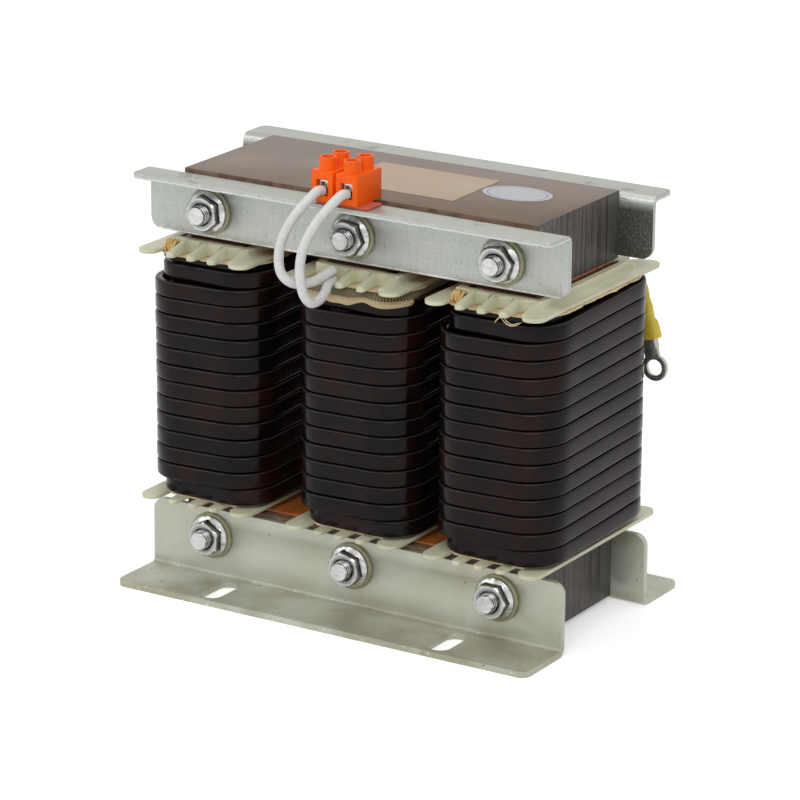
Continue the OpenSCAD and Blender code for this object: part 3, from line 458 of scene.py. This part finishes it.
def plain(name, colour, other, roughness=0.5, scale=200, metallic=0.0, specular=0.5):
    """Even finish between two near colours, with a fine relief."""
    f = Finish(name, metallic=metallic, specular_ior_level=specular)
    f.set("Base Color", f.blend(f.level(f.noise(scale, 3), 0.35, 0.65), colour, other))
    f.set("Roughness", f.level(f.noise(scale * 2, 2), 0.3, 0.7, roughness * 0.85, roughness * 1.15))
    f.bump(f.noise(scale * 4, 2), 0.1, 0.05 * MM)
    return f.material


# Even finishes: two colours, roughness, scale of their clouds per metre, metal and specular level
PLAIN = {
    "gap_board": ((0.60, 0.47, 0.22), (0.66, 0.52, 0.27)),
    "orange_sheet": ((0.36, 0.09, 0.015), (0.47, 0.14, 0.03), 0.3),
    "former_board": ((0.50, 0.44, 0.28), (0.58, 0.51, 0.33)),
    "collar_paper": ((0.60, 0.43, 0.24), (0.70, 0.54, 0.34), 0.8, 90),
    "binding_twine": ((0.58, 0.33, 0.08), (0.74, 0.52, 0.22), 0.7, 400),
    "red_sleeve": ((0.42, 0.02, 0.015), (0.48, 0.03, 0.02)),
    "green_sleeve": ((0.02, 0.20, 0.04), (0.03, 0.25, 0.05)),
    "yellow_sleeve": ((0.60, 0.44, 0.04), (0.66, 0.50, 0.06)),
    "tinned_copper": ((0.42, 0.41, 0.37), (0.50, 0.49, 0.45), 0.38, 300, 0.9),
    "insulating_board": ((0.28, 0.27, 0.16), (0.34, 0.33, 0.21), 0.35),
    "orange_plastic": ((0.86, 0.105, 0.001), (0.90, 0.115, 0.002), 0.42, 150, 0.0, 0.22),
    "nickel_plate": ((0.60, 0.58, 0.54), (0.68, 0.66, 0.62), 0.25, 300, 1.0),
    "adhesive": ((0.42, 0.06, 0.03), (0.50, 0.09, 0.05)),
    "black_plastic": ((0.02, 0.02, 0.02), (0.03, 0.03, 0.03)),
    "white_sleeve": ((0.60, 0.60, 0.59), (0.66, 0.66, 0.65), 0.45, 500),
    "beige_label": ((0.37, 0.265, 0.175), (0.41, 0.30, 0.20), 0.45, 40),
}
materials = {
    "zinc_clamps": zinc_sheet(),
    "varnished_feet": varnished_foot(),
    "core_steel": core_varnish(),
    "frame_plastic": moulded_cream(),
    "enamelled_copper": enamel(),
    "woven_tape": woven(),
    "zinc_fasteners": zinc_bright(),
    "white_label": oval_film(),
}
for name, look in PLAIN.items():
    materials[name] = plain(name, *look)

slot_of = {part["node"]: part["material_slot"] for part in frame["record"]["subparts"]}
for name, obj in frame["nodes"].items():
    obj.data.materials.clear()
    obj.data.materials.append(materials[slot_of[name]])


# Outer layer of each winding
def circle(steps):
    """Angles of a full turn in even steps."""
    return np.arange(steps) * TURN / steps


def winding_plan(share, inset):
    """Plan of the conductor's middle line at a share of a loop, counted from the rear left corner: x, y, the
    outward angle, and the lengths at which corners and runs begin. Corners are quarter circles, runs are
    straight, and the inset shrinks the corners' radius."""
    path_r = corner_r - conductor_t / 2
    run_w, run_d = 2 * (coil_half_w - corner_r), 2 * (coil_half_d - corner_r)
    arc = TURN / 4 * path_r
    lengths = np.array([arc, run_d, arc, run_w, arc, run_d, arc, run_w])
    marks = np.concatenate([[0], np.cumsum(lengths)])
    along = (share % 1) * marks[-1]
    part = np.clip(np.searchsorted(marks, along, side="right") - 1, 0, 7)
    within = (along - marks[part]) / lengths[part]
    corner = part // 2
    straight = part % 2 == 1
    out = TURN / 4 * (1 + corner + np.where(straight, 1, within))
    centre_x = np.array([-1, -1, 1, 1]) * run_w / 2
    centre_y = np.array([1, -1, -1, 1]) * run_d / 2
    following = (corner + 1) % 4
    slide = np.where(straight, within, 0)
    x = centre_x[corner] * (1 - slide) + centre_x[following] * slide
    y = centre_y[corner] * (1 - slide) + centre_y[following] * slide
    radius = path_r - inset
    return x + radius * np.cos(out), y + radius * np.sin(out), out, marks


def ease(s, a, b):
    """Smooth step from 0 at a to 1 at b."""
    u = np.clip((s - a) / (b - a), 0, 1)
    return u * u * (3 - 2 * u)


def rounded_section(thickness, height, radius, steps=4):
    """Points of a rounded rectangle, counterclockwise, as offsets outward and upward."""
    angles = np.concatenate([np.linspace(0, TURN / 4, steps + 1) + TURN / 4 * k for k in range(4)])
    centre_u = np.repeat([1, -1, -1, 1], steps + 1) * (thickness / 2 - radius)
    centre_v = np.repeat([1, 1, -1, -1], steps + 1) * (height / 2 - radius)
    return centre_u + radius * np.cos(angles), centre_v + radius * np.sin(angles)


def outer_winding(centre, side):
    """Flat conductor wound upward in one helix: its middle follows winding_plan while its height rises evenly,
    and at both ends it lies one layer further in. Small waves keep the turns from being all alike. Gives also a
    painted-highlight value for each point, high on the outer upper edge."""
    marks = winding_plan(np.zeros(1), 0)[3]
    front_left = marks[3] / marks[-1]
    front_right = marks[5] / marks[-1]
    rear_right = marks[7] / marks[-1]
    end = turns + rear_right + conductor_h / marks[-1]
    low, high = coil_low[2], coil_high[2]
    pitch = (high - low - conductor_h) / (end - front_left)
    rings_per_turn = 88
    share = np.unique(np.concatenate([np.arange(0, end, 1 / rings_per_turn), [end]]))
    inset = layer_step * (1 - ease(share, front_left, front_right)
                          + ease(share, rear_right + turns - 1, turns + marks[1] / marks[-1])
                          - ease(share, turns + front_left, turns + front_right))
    x, y, out, _ = winding_plan(share, inset)
    z = low + conductor_h / 2 + pitch * np.maximum(0, share - front_left)
    phase = 1.7 * side
    wave = 0.07 * MM * np.sin(TURN * share * 2.37 + phase) + 0.05 * MM * np.sin(TURN * share * 5.1 + 2 * phase)
    sway = 0.05 * MM * np.sin(TURN * share * 1.31 + 3 * phase)
    u, v = rounded_section(conductor_t, conductor_h, conductor_edge_r)
    ring_x = x[:, None] + (u + wave[:, None]) * np.cos(out)[:, None]
    ring_y = y[:, None] + (u + wave[:, None]) * np.sin(out)[:, None]
    ring_z = (z + sway)[:, None] + v
    points = np.stack([ring_x + centre, ring_y, np.broadcast_to(ring_z, ring_x.shape)], -1)
    round_upper_edge = np.arctan2(v - conductor_h / 2 + conductor_edge_r, u - conductor_t / 2 + conductor_edge_r)
    # painted highlight: high on the outer upper rounded edge of the section
    pale = np.maximum(0, 1 - np.abs(round_upper_edge - TURN / 6.5) / 0.45)
    return *tube(points[:, ::-1]), np.broadcast_to(pale, ring_x.shape)[:, ::-1]


for name, side in SIDES.items():
    verts, faces, pale = outer_winding(coil_x[name], side)
    wound = piece(name + "_wound_layer", verts, faces, "enamelled_copper", [name + "_outer_winding"])
    # the painted highlight goes with the mesh as its edge value
    mark(wound, "edge", [pale])


# White sleeved leads from the terminal block to the thermal switch, through these points in mm
LEFT_ROUTE = [(-6.4, -45.6, 173), (-6.8, -48.4, 173.2), (-9.2, -52.6, 169.4), (-13, -56.4, 163),
              (-16.2, -58.4, 155.6), (-17.2, -59.6, 148.4), (-15.4, -60.4, 142), (-11.6, -58.8, 138.6),
              (-6.8, -53, 138.2), (-5, -48, 139.6), (-3.8, -44.6, 140.8), (-3.4, -42.6, 141.2)]
RIGHT_ROUTE = [(4.6, -45.6, 173), (4.2, -48.4, 173.2), (1.6, -53.4, 169), (-2.2, -57.4, 162.4),
               (-5.2, -60, 154.8), (-6.2, -61.6, 147.4), (-5, -62.8, 140.4), (-3.8, -62.4, 135.6),
               (-2.4, -60, 132.4), (-1.4, -56, 132.6), (-1.8, -51, 134.4), (-3.1, -46.8, 136.4),
               (-3.3, -42.6, 137.1)]


def between(s, low, high, a, b):
    """Point on the line that is a where s is low and b where s is high."""
    return (high - s) / (high - low) * a + (s - low) / (high - low) * b


def smooth_route(points, per_span=8):
    """Centripetal spline through the chosen points, with a number of rows for each span between them."""
    p = np.array(points) * MM
    p = np.concatenate([[2 * p[0] - p[1]], p, [2 * p[-1] - p[-2]]])
    t = np.concatenate([[0], np.cumsum(np.linalg.norm(np.diff(p, axis=0), axis=1) ** 0.5)])
    rows = []
    for k in range(1, len(p) - 2):
        s = np.linspace(t[k], t[k + 1], per_span, endpoint=False)[:, None]
        a1, a2, a3 = (between(s, t[i - 1], t[i], p[i - 1], p[i]) for i in (k, k + 1, k + 2))
        b1 = between(s, t[k - 1], t[k + 1], a1, a2)
        b2 = between(s, t[k], t[k + 2], a2, a3)
        rows.append(between(s, t[k], t[k + 1], b1, b2))
    rows.append(p[-2][None])
    return np.concatenate(rows)


def round_tube(path, radius, sides=20, reference=(1, 0, 0), closed=False):
    """Circle of a radius carried along a path, square to it; a closed path meets itself."""
    heading = np.roll(path, -1, 0) - np.roll(path, 1, 0) if closed else np.gradient(path, axis=0)
    heading /= np.linalg.norm(heading, axis=1)[:, None]
    across = np.cross(heading, np.array(reference, float))
    across /= np.linalg.norm(across, axis=1)[:, None]
    rise = np.cross(across, heading)
    a = circle(sides)
    radius = np.broadcast_to(radius, len(path))[:, None, None]
    ring = np.cos(a)[None, :, None] * across[:, None] + np.sin(a)[None, :, None] * rise[:, None]
    return path[:, None] + radius * ring


for name, route in (("left", LEFT_ROUTE), ("right", RIGHT_ROUTE)):
    path = smooth_route(route)
    verts, faces = tube(round_tube(path, lead_d / 2))
    lead = piece(name + "_white_lead", verts, faces, "white_sleeve", [name + "_switch_lead"])


# Nuts and bolts
nut_af, nut_h, head_h, flange_d, rim_t = 13 * MM, 5.5 * MM, 5.5 * MM, 17 * MM, 1.2 * MM
bolt_r, bolt_show, bolt_bevel, thread_pitch = 4 * MM, 3.2 * MM, 1.0 * MM, 1.25 * MM
thread_d = 0.6 * MM
nut_angles = circle(72)
# Upper and lower row: height of the bolts, seat of nuts and heads, and turn of their hexagons in degrees
BOLT_ROWS = ((core_top - 15.2 * MM, core_half + 3.5 * MM, 9),
             (box("front_foot_clamp")[1][2] - 11 * MM, core_half + 4 * MM, 0))


def flanged_rows(height, hole):
    """Rows of radius and height of a flange nut or head: rim, cone, hexagon cut by a 30 degree chamfer, end face.
    The radius of a row is the larger of the cone and the hexagon, and the chamfer cuts both. A nut ends in its
    hole, a head (hole 0) in a shallow dish."""
    hexagon = nut_af / 2 / np.cos((nut_angles + TURN / 12) % (TURN / 6) - TURN / 12)
    cut = 0.9 * MM
    levels = np.concatenate([[0, 0.3 * MM, rim_t], np.linspace(rim_t + 0.25 * MM, 2 * rim_t + 0.1 * MM, 10),
                             height - cut * np.array([1, 0.75, 0.5, 0.25, 0])])
    rim_r = flange_d / 2
    cone = np.interp(levels, [0, 0.3 * MM, rim_t, rim_t + 0.25 * MM, 2 * rim_t, height],
                     [rim_r - 0.3 * MM, rim_r, rim_r, rim_r - 0.35 * MM, nut_af / 2, 0])
    chamfer = nut_af / 2 * 1.155 + 0.05 * MM - np.maximum(0, levels - (height - cut)) * 1.15
    chamfer[levels < 2 * rim_t] = np.inf
    radius = np.minimum(np.maximum(cone[:, None], hexagon * (levels > rim_t)[:, None]), chamfer[:, None])
    if hole:
        ends = [(hole + 0.55 * MM, height), (hole, height - 0.5 * MM), (hole, 0)]
    else:
        dish_r, dish_z = 3.6 * MM, height - 0.35 * MM
        ends = [(dish_r, height), (dish_r - 0.4 * MM, dish_z), (0.02 * MM, dish_z)]
    radius = np.concatenate([radius, [[e[0]] * len(nut_angles) for e in ends]])
    return radius, np.concatenate([levels, [e[1] for e in ends]])


def stand(radius, levels, a, x, y, z, facing):
    """Rows of radius and height along Y: facing -1 towards the nuts' side, 1 towards the heads' side."""
    levels = np.broadcast_to(np.asarray(levels)[:, None], radius.shape)
    return np.stack([x + radius * np.cos(a), y + facing * levels, z + radius * np.sin(a)], -1)


def threaded_end(start, end, x, z):
    """Bolt from its head to its tip: plain shank, then a 60 degree thread whose crest climbs one pitch per turn,
    cut by the bevel at the tip. Radius is the shank's less a triangle wave of the height. Gives also the painted
    shade of each point, high in the thread's root."""
    a = circle(48)
    levels = np.concatenate([[start, end - 5.2 * MM], np.arange(end - 5.1 * MM, end + 0.01 * MM, 0.1 * MM)])
    turn = (levels[:, None] / thread_pitch - a / TURN) % 1
    share = np.maximum(0, 1 - np.abs(turn - 0.5) / 0.42)
    share[:2] = 0
    limit = bolt_r - np.maximum(0, levels - (end - bolt_bevel))[:, None] * 0.6
    radius = np.minimum(bolt_r - 0.03 * MM - share * thread_d, limit)
    # painted shade in the thread's root
    dark = np.where(levels[:, None] < end - 0.25 * MM, np.minimum(1, 1.5 * share), 0)
    points, faces = tube(stand(radius, levels, a, x, 0, z, -1)[:, ::-1])
    return points, faces, dark[:, ::-1]


def nut_shade_and_reflection(radius, levels, height):
    """Painted dark value of a nut or head: painted shade where cone and flank meet and inside the end, painted
    dark reflection on every other flank.
    """
    levels = np.broadcast_to(np.asarray(levels)[:, None], radius.shape)
    # painted shade where cone and flank meet
    root = np.exp(-((levels - 2.05 * rim_t) / (0.28 * MM)) ** 2)
    # painted dark reflection on every other flank
    flank = 0.5 + 0.5 * np.cos(3 * nut_angles + 0.6)
    side = flank * (levels > 2.0 * rim_t) * (levels < height - 0.6 * MM)
    # painted shade round the hole in the end face
    inner = (radius < nut_af / 2 * 0.72) * (radius > 3.9 * MM)
    return np.clip(0.85 * root + 0.75 * side + 0.8 * inner, 0, 1)


nuts, bolts, nut_dark, bolt_dark = [], [], [], []
for z, y, turn in BOLT_ROWS:
    for side in SIDES.values():
        x = side * limb_pitch
        spin = math.radians(14 + 17 * side + turn)
        radius, levels = flanged_rows(nut_h, bolt_r)
        nuts.append(ring_shell(stand(radius, levels, nut_angles + spin, x, -y, z, -1)))
        nut_dark.append(nut_shade_and_reflection(radius, levels, nut_h))
        radius, levels = flanged_rows(head_h, 0)
        bolts.append(tube(stand(radius, levels, nut_angles + (spin + 0.4), x, y, z, 1)))
        bolt_dark.append(nut_shade_and_reflection(radius, levels, head_h))
        points, faces, dark = threaded_end(-y, y + nut_h + bolt_show, x, z)
        bolts.append((points, faces))
        bolt_dark.append(dark)
# nuts and bolts keep their painted shade and dark reflections as a mesh value
mark(piece("nuts", *join(nuts), "zinc_fasteners", ["flange_nuts"]), "painted_shade_and_reflection", nut_dark)
mark(piece("bolts", *join(bolts), "zinc_fasteners", ["clamp_bolts"]), "painted_shade_and_reflection", bolt_dark)


# Tape, twine, frame ridges, sleeves and paper at the coils
# Combs of the upper frames: fingers' middles and slots' ends in mm from the coil's middle, ear, heights and tips
FINGERS = (-10.974, -1.389, 8.365)
SLOTS = ((-9.2, -3.2), (0.4, 6.6), (10.1, 15.5))
finger_half = 1.98 * MM
ear_x, ear_left, ear_right = 16.9 * MM, 1.6 * MM, 5.4 * MM
ridge_low, ridge_h, ridge_fall = frame_top - 3.9 * MM, 3.85 * MM, 2.45 * MM
web_low, web_top, web_depth = frame_top - 4.7 * MM, frame_top - 0.1 * MM, 2.7 * MM
finger_end = {-1: coil_half_d + 3.0 * MM, 1: coil_half_d + 6.8 * MM}
# Tape: its rows over the height, the reach of its front fold in mm over them, and the pitch of its ribs
TAPE_ROWS = 11
FOLD = ((0, 0.15, 0.3, 0.5, 0.75, 1), (3.7, 3.9, 3.95, 2.9, 1.3, 0.05))
tape_inset, rib_pitch = 3.5 * MM, 1.05 * MM
# Sleeves: half width and half thickness in mm at shares of their length from the lug upwards, and their wall
SLEEVE_SHARES = (0, 0.03, 0.25, 0.38, 0.48, 0.6, 1, 1.4)
SLEEVE_HALF_W = (4.9, 5.1, 5.0, 4.7, 4.2, 4.3, 4.1, 3.9)
SLEEVE_HALF_T = (2.5, 2.7, 2.9, 2.8, 2.15, 2.3, 2.1, 2.1)
sleeve_wall, sleeve_rise = 0.45 * MM, 5.5 * MM
# Loose fibres of the paper before the right coil: along its front, out from it and down from the paper, in mm
FIBRES = (((7.5, 1.7, 0.4), (9.6, 2.7, 1.5), (12.0, 3.1, 2.3), (14.5, 3.0, 1.9), (16.6, 2.3, 0.5)),
          ((8.6, 1.5, 0.3), (10.4, 2.5, 1.1), (12.8, 2.9, 1.8), (15.6, 2.5, 0.8)),
          ((6.4, 0.8, 0.3), (5.6, 1.9, 1.4), (5.0, 2.4, 2.5)),
          ((7.0, 0.8, 0.3), (6.0, 1.8, 1.0), (5.3, 2.3, 2.0)))


def round_loop(half_w, half_d, corner, steps, run):
    """Plan of a rounded rectangle, counterclockwise from the right side: points and outward directions, with
    numbers of steps in each corner and of points in each straight run."""
    signs = ((1, 1), (-1, 1), (-1, -1), (1, -1))
    middles = [np.array([sx * (half_w - corner), sy * (half_d - corner)]) for sx, sy in signs]
    points, outward = [], []
    for k in range(4):
        angle = TURN / 4 * k + np.linspace(0, TURN / 4, steps + 1)
        direction = np.stack([np.cos(angle), np.sin(angle)], -1)
        points.append(middles[k] + corner * direction)
        outward.append(direction)
        start = points[-1][-1]
        goal = middles[(k + 1) % 4] + corner * direction[-1]
        share = np.linspace(0, 1, run + 2)[1:-1, None]
        points.append(start + (goal - start) * share)
        outward.append(np.repeat(direction[-1][None], run, 0))
    return np.concatenate(points), np.concatenate(outward)


def folded_back(outer, inner):
    """Rows that run along an outer line and back along an inner one, so that they close a shell."""
    return np.concatenate([outer, inner[:, ::-1]], 1)


def tape_band():
    """Band round the top of the middle coil. It bulges by a half sine over its height, with slow waves along it;
    at the front a fold of it, blended in by the outward direction, hangs over the top turn to a wavy edge."""
    low, high = box("binding_tape")
    place = [middle_x("binding_tape"), 0]
    plan, out = round_loop(coil_half_w - tape_inset, coil_half_d - tape_inset, corner_r - tape_inset, 24, 60)
    count = len(plan)
    v = np.linspace(0, 1, TAPE_ROWS)
    along = circle(count)
    swell = (1.5 + 0.3 * np.sin(3 * along) + 0.2 * np.sin(7 * along + 1)) * MM
    reach = swell[:, None] * np.sin(math.pi * np.clip(v, 0.02, 0.98)) ** 0.6 + 0.05 * MM
    front = ease(-out[:, 1:], -0.05 / 1.6, 0.95 / 1.6)
    reach += front * (np.interp(v, *FOLD) * MM - reach)
    x = plan[:, :1] / MM
    drop = 1.45 - 2.2 * np.exp(-((x - 8.5) / 4) ** 2) - 1.3 * ease(x, 10, 24)
    low = low[2] - (2.6 + drop * front) * MM
    z = low + (high[2] - low) * v + 0.12 * MM * np.sin(5 * along + 2)[:, None] * (1 - v)
    z += front * 0.15 * MM * np.sin(19 * along)[:, None] * (1 - v) ** 2
    outer = plan[:, None] + out[:, None] * reach[..., None] + place
    inner = np.broadcast_to((plan - out * 0.15 * MM)[:, None] + place, outer.shape)
    rings = folded_back(*(np.concatenate([xy, z[..., None]], -1) for xy in (outer, inner)))
    band = piece("woven_band", *ring_shell(rings), "woven_tape", ["binding_tape"])
    layer = band.data.uv_layers.new(name="band")
    vertex = np.empty(len(band.data.loops), int)
    band.data.loops.foreach_get("vertex_index", vertex)
    row, col = (vertex // rings.shape[1]).reshape(-1, 4), vertex % rings.shape[1]
    seam = (row.max(1) == count - 1) & (row.min(1) == 0)
    row[seam[:, None] & (row == 0)] = count
    col = np.where(col < TAPE_ROWS, col, 2 * TAPE_ROWS - 1 - col)
    run = np.concatenate([[0], np.cumsum(np.linalg.norm(np.roll(plan, -1, 0) - plan, axis=1))])
    ribs = run / run[-1] * round(run[-1] / rib_pitch)
    layer.data.foreach_set("uv", np.stack([ribs[row.ravel()], col * 0.5], -1).ravel())


def twine(centre):
    """Seven strands over the rim between the narrow ear and the first finger: each a slanted rounded loop."""
    left = centre - coil_half_w + 9.2 * MM
    a = circle(36)
    strands = []
    for k in range(7):
        x = left + (0.2 + 0.66 * k) * MM
        wide, tall = (2.1 + 0.25 * math.sin(2.3 * k)) * MM, (2.3 + 0.3 * math.cos(1.7 * k)) * MM
        loop = np.stack([x + 0.45 * MM * np.sin(a + k), -comb_root - wide + wide * np.cos(a),
                         frame_low + 2.0 * MM + tall * np.sin(a)], -1)
        strands.append(ring_shell(round_tube(loop, 0.42 * MM, 8, closed=True)))
    return strands


def ridge(x, left, right, skirt, side, end):
    """Rounded ridge on a finger: a superellipse across, or half a cosine on the right of an ear; its height falls
    in a line to the tip, which is closed by a quarter circle."""
    length = end - comb_root - left
    s = np.concatenate([np.linspace(-0.03, 1, 14), 1 + left / length * np.sin(np.linspace(0.15, 1.5, 8))])
    tip = np.sqrt(np.clip(1 - (np.clip(s - 1, 0, None) * length / left) ** 2, 0, 1))[:, None]
    height = (ridge_h - ridge_fall * np.clip(s, 0, 1))[:, None] * tip
    u = np.linspace(-1, 1, 17)
    across = np.where(u < 0, u * left, u * right)
    full = (1 - np.abs(u) ** 2.6) ** (1 / 2.6)
    section = np.where((u > 0) & skirt, 0.5 + 0.5 * np.cos(math.pi * u), full)
    px = x + across * tip
    py = np.repeat(side * (comb_root + s * length)[:, None], len(u), 1)
    crown = np.stack([px, py, ridge_low + height * section], -1)
    sole = np.stack([px, py, np.full(px.shape, ridge_low - 0.3 * MM)], -1)
    return tube(folded_back(crown, sole))


def web(x0, x1, side):
    """Web at the root of a slot: half an ellipse in plan, joining two fingers, with a top that falls outwards."""
    u = np.linspace(-1, 1, 19)
    depth = web_depth * (1 - np.sqrt(np.clip(1 - u ** 2, 0, 1))) + 0.15 * MM
    x = (x0 + x1) / 2 + u * (x1 - x0) / 2
    rows = []
    for share, z, fall in ((0, web_low, 0), (0, web_top, 0), (0.5, web_top, 0.15), (1, web_top - 0.25 * MM, 0.3),
                           (1, web_low, 0)):
        y = comb_root - 0.4 * MM + share * (depth + 0.4 * MM)
        rows.append(np.stack([x, side * y, z - fall * depth], -1))
    return tube(np.stack(rows, 1))


def frame_ridges():
    """Ridges on the fingers and the broad ears of the upper frames, and webs between them."""
    shells = []
    for centre in coil_x.values():
        for side, end in finger_end.items():
            for x in FINGERS:
                shells.append(ridge(centre + x * MM, finger_half, finger_half, False, side, end))
            shells.append(ridge(centre + ear_x, ear_left, ear_right, True, side, end - 1.6 * MM))
            for x0, x1 in SLOTS:
                shells.append(web(centre + x0 * MM, centre + x1 * MM, side))
    return shells


def soft_sleeve(node, hand):
    """Soft tube on a hanging lead, between ends read from the sleeve's node. The section is a superellipse, wide
    over the lug's barrel and narrow over the bar, with a crease between; its extra thickness lies outwards."""
    mesh = frame["nodes"][node].data
    points = np.empty(len(mesh.vertices) * 3)
    mesh.vertices.foreach_get("co", points)
    points = points.reshape(-1, 3)
    points = points[hand * (points[:, 0] - middle_x(node)) > 0]
    upper = points[:, 2] > points[:, 2].mean()
    foot, head = points[~upper].mean(0), points[upper].mean(0)
    length = np.linalg.norm(head - foot)
    up, out = (head - foot) / length, np.array([0, 1.0, 0])
    across = np.cross(out, up)
    reach = 1 + sleeve_rise / length if hand > 0 else 1.03
    t = np.concatenate([[0, 0.02], np.linspace(0.06, reach - 0.01, 40), [reach]])
    half_w = (np.interp(t, SLEEVE_SHARES, SLEEVE_HALF_W) + 0.12 * np.sin(17 * t + hand)) * MM
    half_t = np.interp(t, SLEEVE_SHARES, SLEEVE_HALF_T) * MM
    a = circle(40)
    u, v = (np.sign(f(a)) * np.abs(f(a)) ** 0.75 for f in (np.cos, np.sin))
    axis = foot + t[:, None] * length * up + (half_t - SLEEVE_HALF_T[-1] * MM)[:, None] * out
    skin, lining = (axis[:, None] + ((half_w - wall)[:, None] * u)[..., None] * across
                    + ((half_t - wall)[:, None] * v)[..., None] * out for wall in (0, sleeve_wall))
    return ring_shell(np.concatenate([skin, lining[::-1]]))


def paper(z, centre, inset, ragged, seed):
    """Sheet of paper round a limb: its outer edge follows the winding less an inset, frayed by summed sines."""
    plan, out = round_loop(coil_half_w - inset, coil_half_d - inset, corner_r - inset, 20, 80)
    along = circle(len(plan))
    fray = sum(np.sin(n * along + seed * n) / (1 + 0.03 * n) for n in (9, 17, 31, 53, 89)) * ragged / 3
    edge = plan + out * fray[:, None]
    bore, _ = round_loop(17.6 * MM, core_half + 1.9 * MM, 0.5 * MM, 20, 80)
    v = np.linspace(0, 1, 5)[None, :, None]
    sheet = bore[:, None] * (1 - v) + edge[:, None] * v + [centre, 0]
    half_t = 0.12 * MM
    top, under = (np.concatenate([sheet, np.full((*sheet.shape[:2], 1), height)], -1)
                  for height in (z + half_t, z - half_t))
    return ring_shell(folded_back(top, under))


def fibre(points):
    """Thin round thread through chosen points, thickest at its middle."""
    origin = np.array([coil_x["right"], -coil_half_d, frame_low]) / MM
    path = smooth_route(np.array(points) * (1, -1, -1) + origin, 6)
    radius = (0.07 + 0.13 * np.sin(math.pi * np.linspace(0.1, 0.95, len(path)))) * MM
    return tube(round_tube(path, radius, 8, (0.1, 0.2, 1)))


tape_band()
piece("twine", *join(twine(coil_x["left"]) + twine(coil_x["right"])), "binding_twine", ["binding_cords"])
for name in SIDES:
    node = name + "_lead_sleeves"
    piece(node + "_soft", *join([soft_sleeve(node, -1), soft_sleeve(node, 1)]), slot_of[node], [node])
piece("frame_ridges", *join(frame_ridges()), "frame_plastic")
paper_low, paper_high = box("paper_collars")
sheets = []
for k, name in enumerate(SIDES):
    sheets.append(paper(paper_low[2] + 0.15 * MM, coil_x[name], 4 * MM, 0.2 * MM, 1.1 * k))
    sheets.append(paper(paper_high[2] - 0.16 * MM, coil_x[name], 1.6 * MM, 0.9 * MM, 0.7 + k))
sheets += [fibre(points) for points in FIBRES]
piece("papers", *join(sheets), "collar_paper", ["paper_collars"])

# Nodes that keep their CAD form, with the width of their rounded edges in mm
SOFT_EDGES = {
    "front_upper_clamp": 0.35, "rear_upper_clamp": 0.35, "front_foot_clamp": 0.4, "rear_foot_clamp": 0.4,
    "terminal_block": 0.3, "insulating_washers": 0.3, "upper_yoke": 0.3, "lower_yoke": 0.3, "gap_sheets": 0.2,
    "adhesive_pad": 0.25, "terminal_cages": 0.1, "left_lugs": 0.25, "middle_lugs": 0.25, "right_lugs": 0.25,
}
for node, width in SOFT_EDGES.items():
    softened(node, width * MM)
for node in frame["nodes"]:
    if node.endswith("_frame"):
        softened(node, 0.6 * MM, 3)


# Floor, background and lights
def seen_rays(tree):
    """1 for camera, glossy and transmission rays and 0 for all others, as a socket in a node tree."""
    path = tree.nodes.new("ShaderNodeLightPath").outputs
    seen = path["Is Camera Ray"]
    for ray in ("Is Glossy Ray", "Is Transmission Ray"):
        larger = tree.nodes.new("ShaderNodeMath")
        larger.operation = "MAXIMUM"
        tree.links.new(seen, larger.inputs[0])
        tree.links.new(path[ray], larger.inputs[1])
        seen = larger.outputs[0]
    return seen


def floor_material():
    """Pale floor that takes the shadow; camera, glossy and transmission rays see it lifted to white."""
    f = Finish("pale_floor", roughness=0.9, specular_ior_level=0.1)
    f.set("Base Color", (0.93, 0.93, 0.93))
    f.set("Emission Color", (1.0, 1.0, 1.0))
    f.set("Emission Strength", f.math("MULTIPLY", seen_rays(f.tree), 0.38))
    return f.material


def build_stage():
    """Plain floor, white surroundings and soft lamps."""
    half = 6.0
    mesh = bpy.data.meshes.new("floor")
    mesh.from_pydata([(-half, -half, 0), (half, -half, 0), (half, half, 0), (-half, half, 0)], [], [(0, 1, 2, 3)])
    floor = bpy.data.objects.new("floor", mesh)
    floor.data.materials.append(floor_material())
    bpy.context.scene.collection.objects.link(floor)
    world = bpy.data.worlds.new("surroundings")
    bpy.context.scene.world = world
    world.use_nodes = True
    tree = world.node_tree
    background = tree.nodes["Background"]
    background.inputs["Color"].default_value = (1, 1, 1, 1)
    strength = tree.nodes.new("ShaderNodeMapRange")
    tree.links.new(seen_rays(tree), strength.inputs["Value"])
    strength.inputs["To Min"].default_value = 0.5
    strength.inputs["To Max"].default_value = 1.0
    tree.links.new(strength.outputs["Result"], background.inputs["Strength"])
    lamp("key", (0.5, -0.9, 1.1), 0.9, 7)
    lamp("fill", (-0.9, -0.7, 0.7), 0.9, 3.5)
    lamp("top", (0.0, 0.2, 1.3), 1.0, 3.6)


def lamp(name, place, size, power):
    """Square soft lamp at a place, turned to the object's middle."""
    target = (0, 0, 0.1)
    data = bpy.data.lights.new(name, "AREA")
    data.size = size
    data.energy = power
    obj = bpy.data.objects.new(name, data)
    obj.location = place
    obj.rotation_euler = (Vector(target) - Vector(place)).to_track_quat("-Z", "Y").to_euler()
    bpy.context.scene.collection.objects.link(obj)


build_stage()
bpy.context.scene.view_settings.view_transform = "Standard"
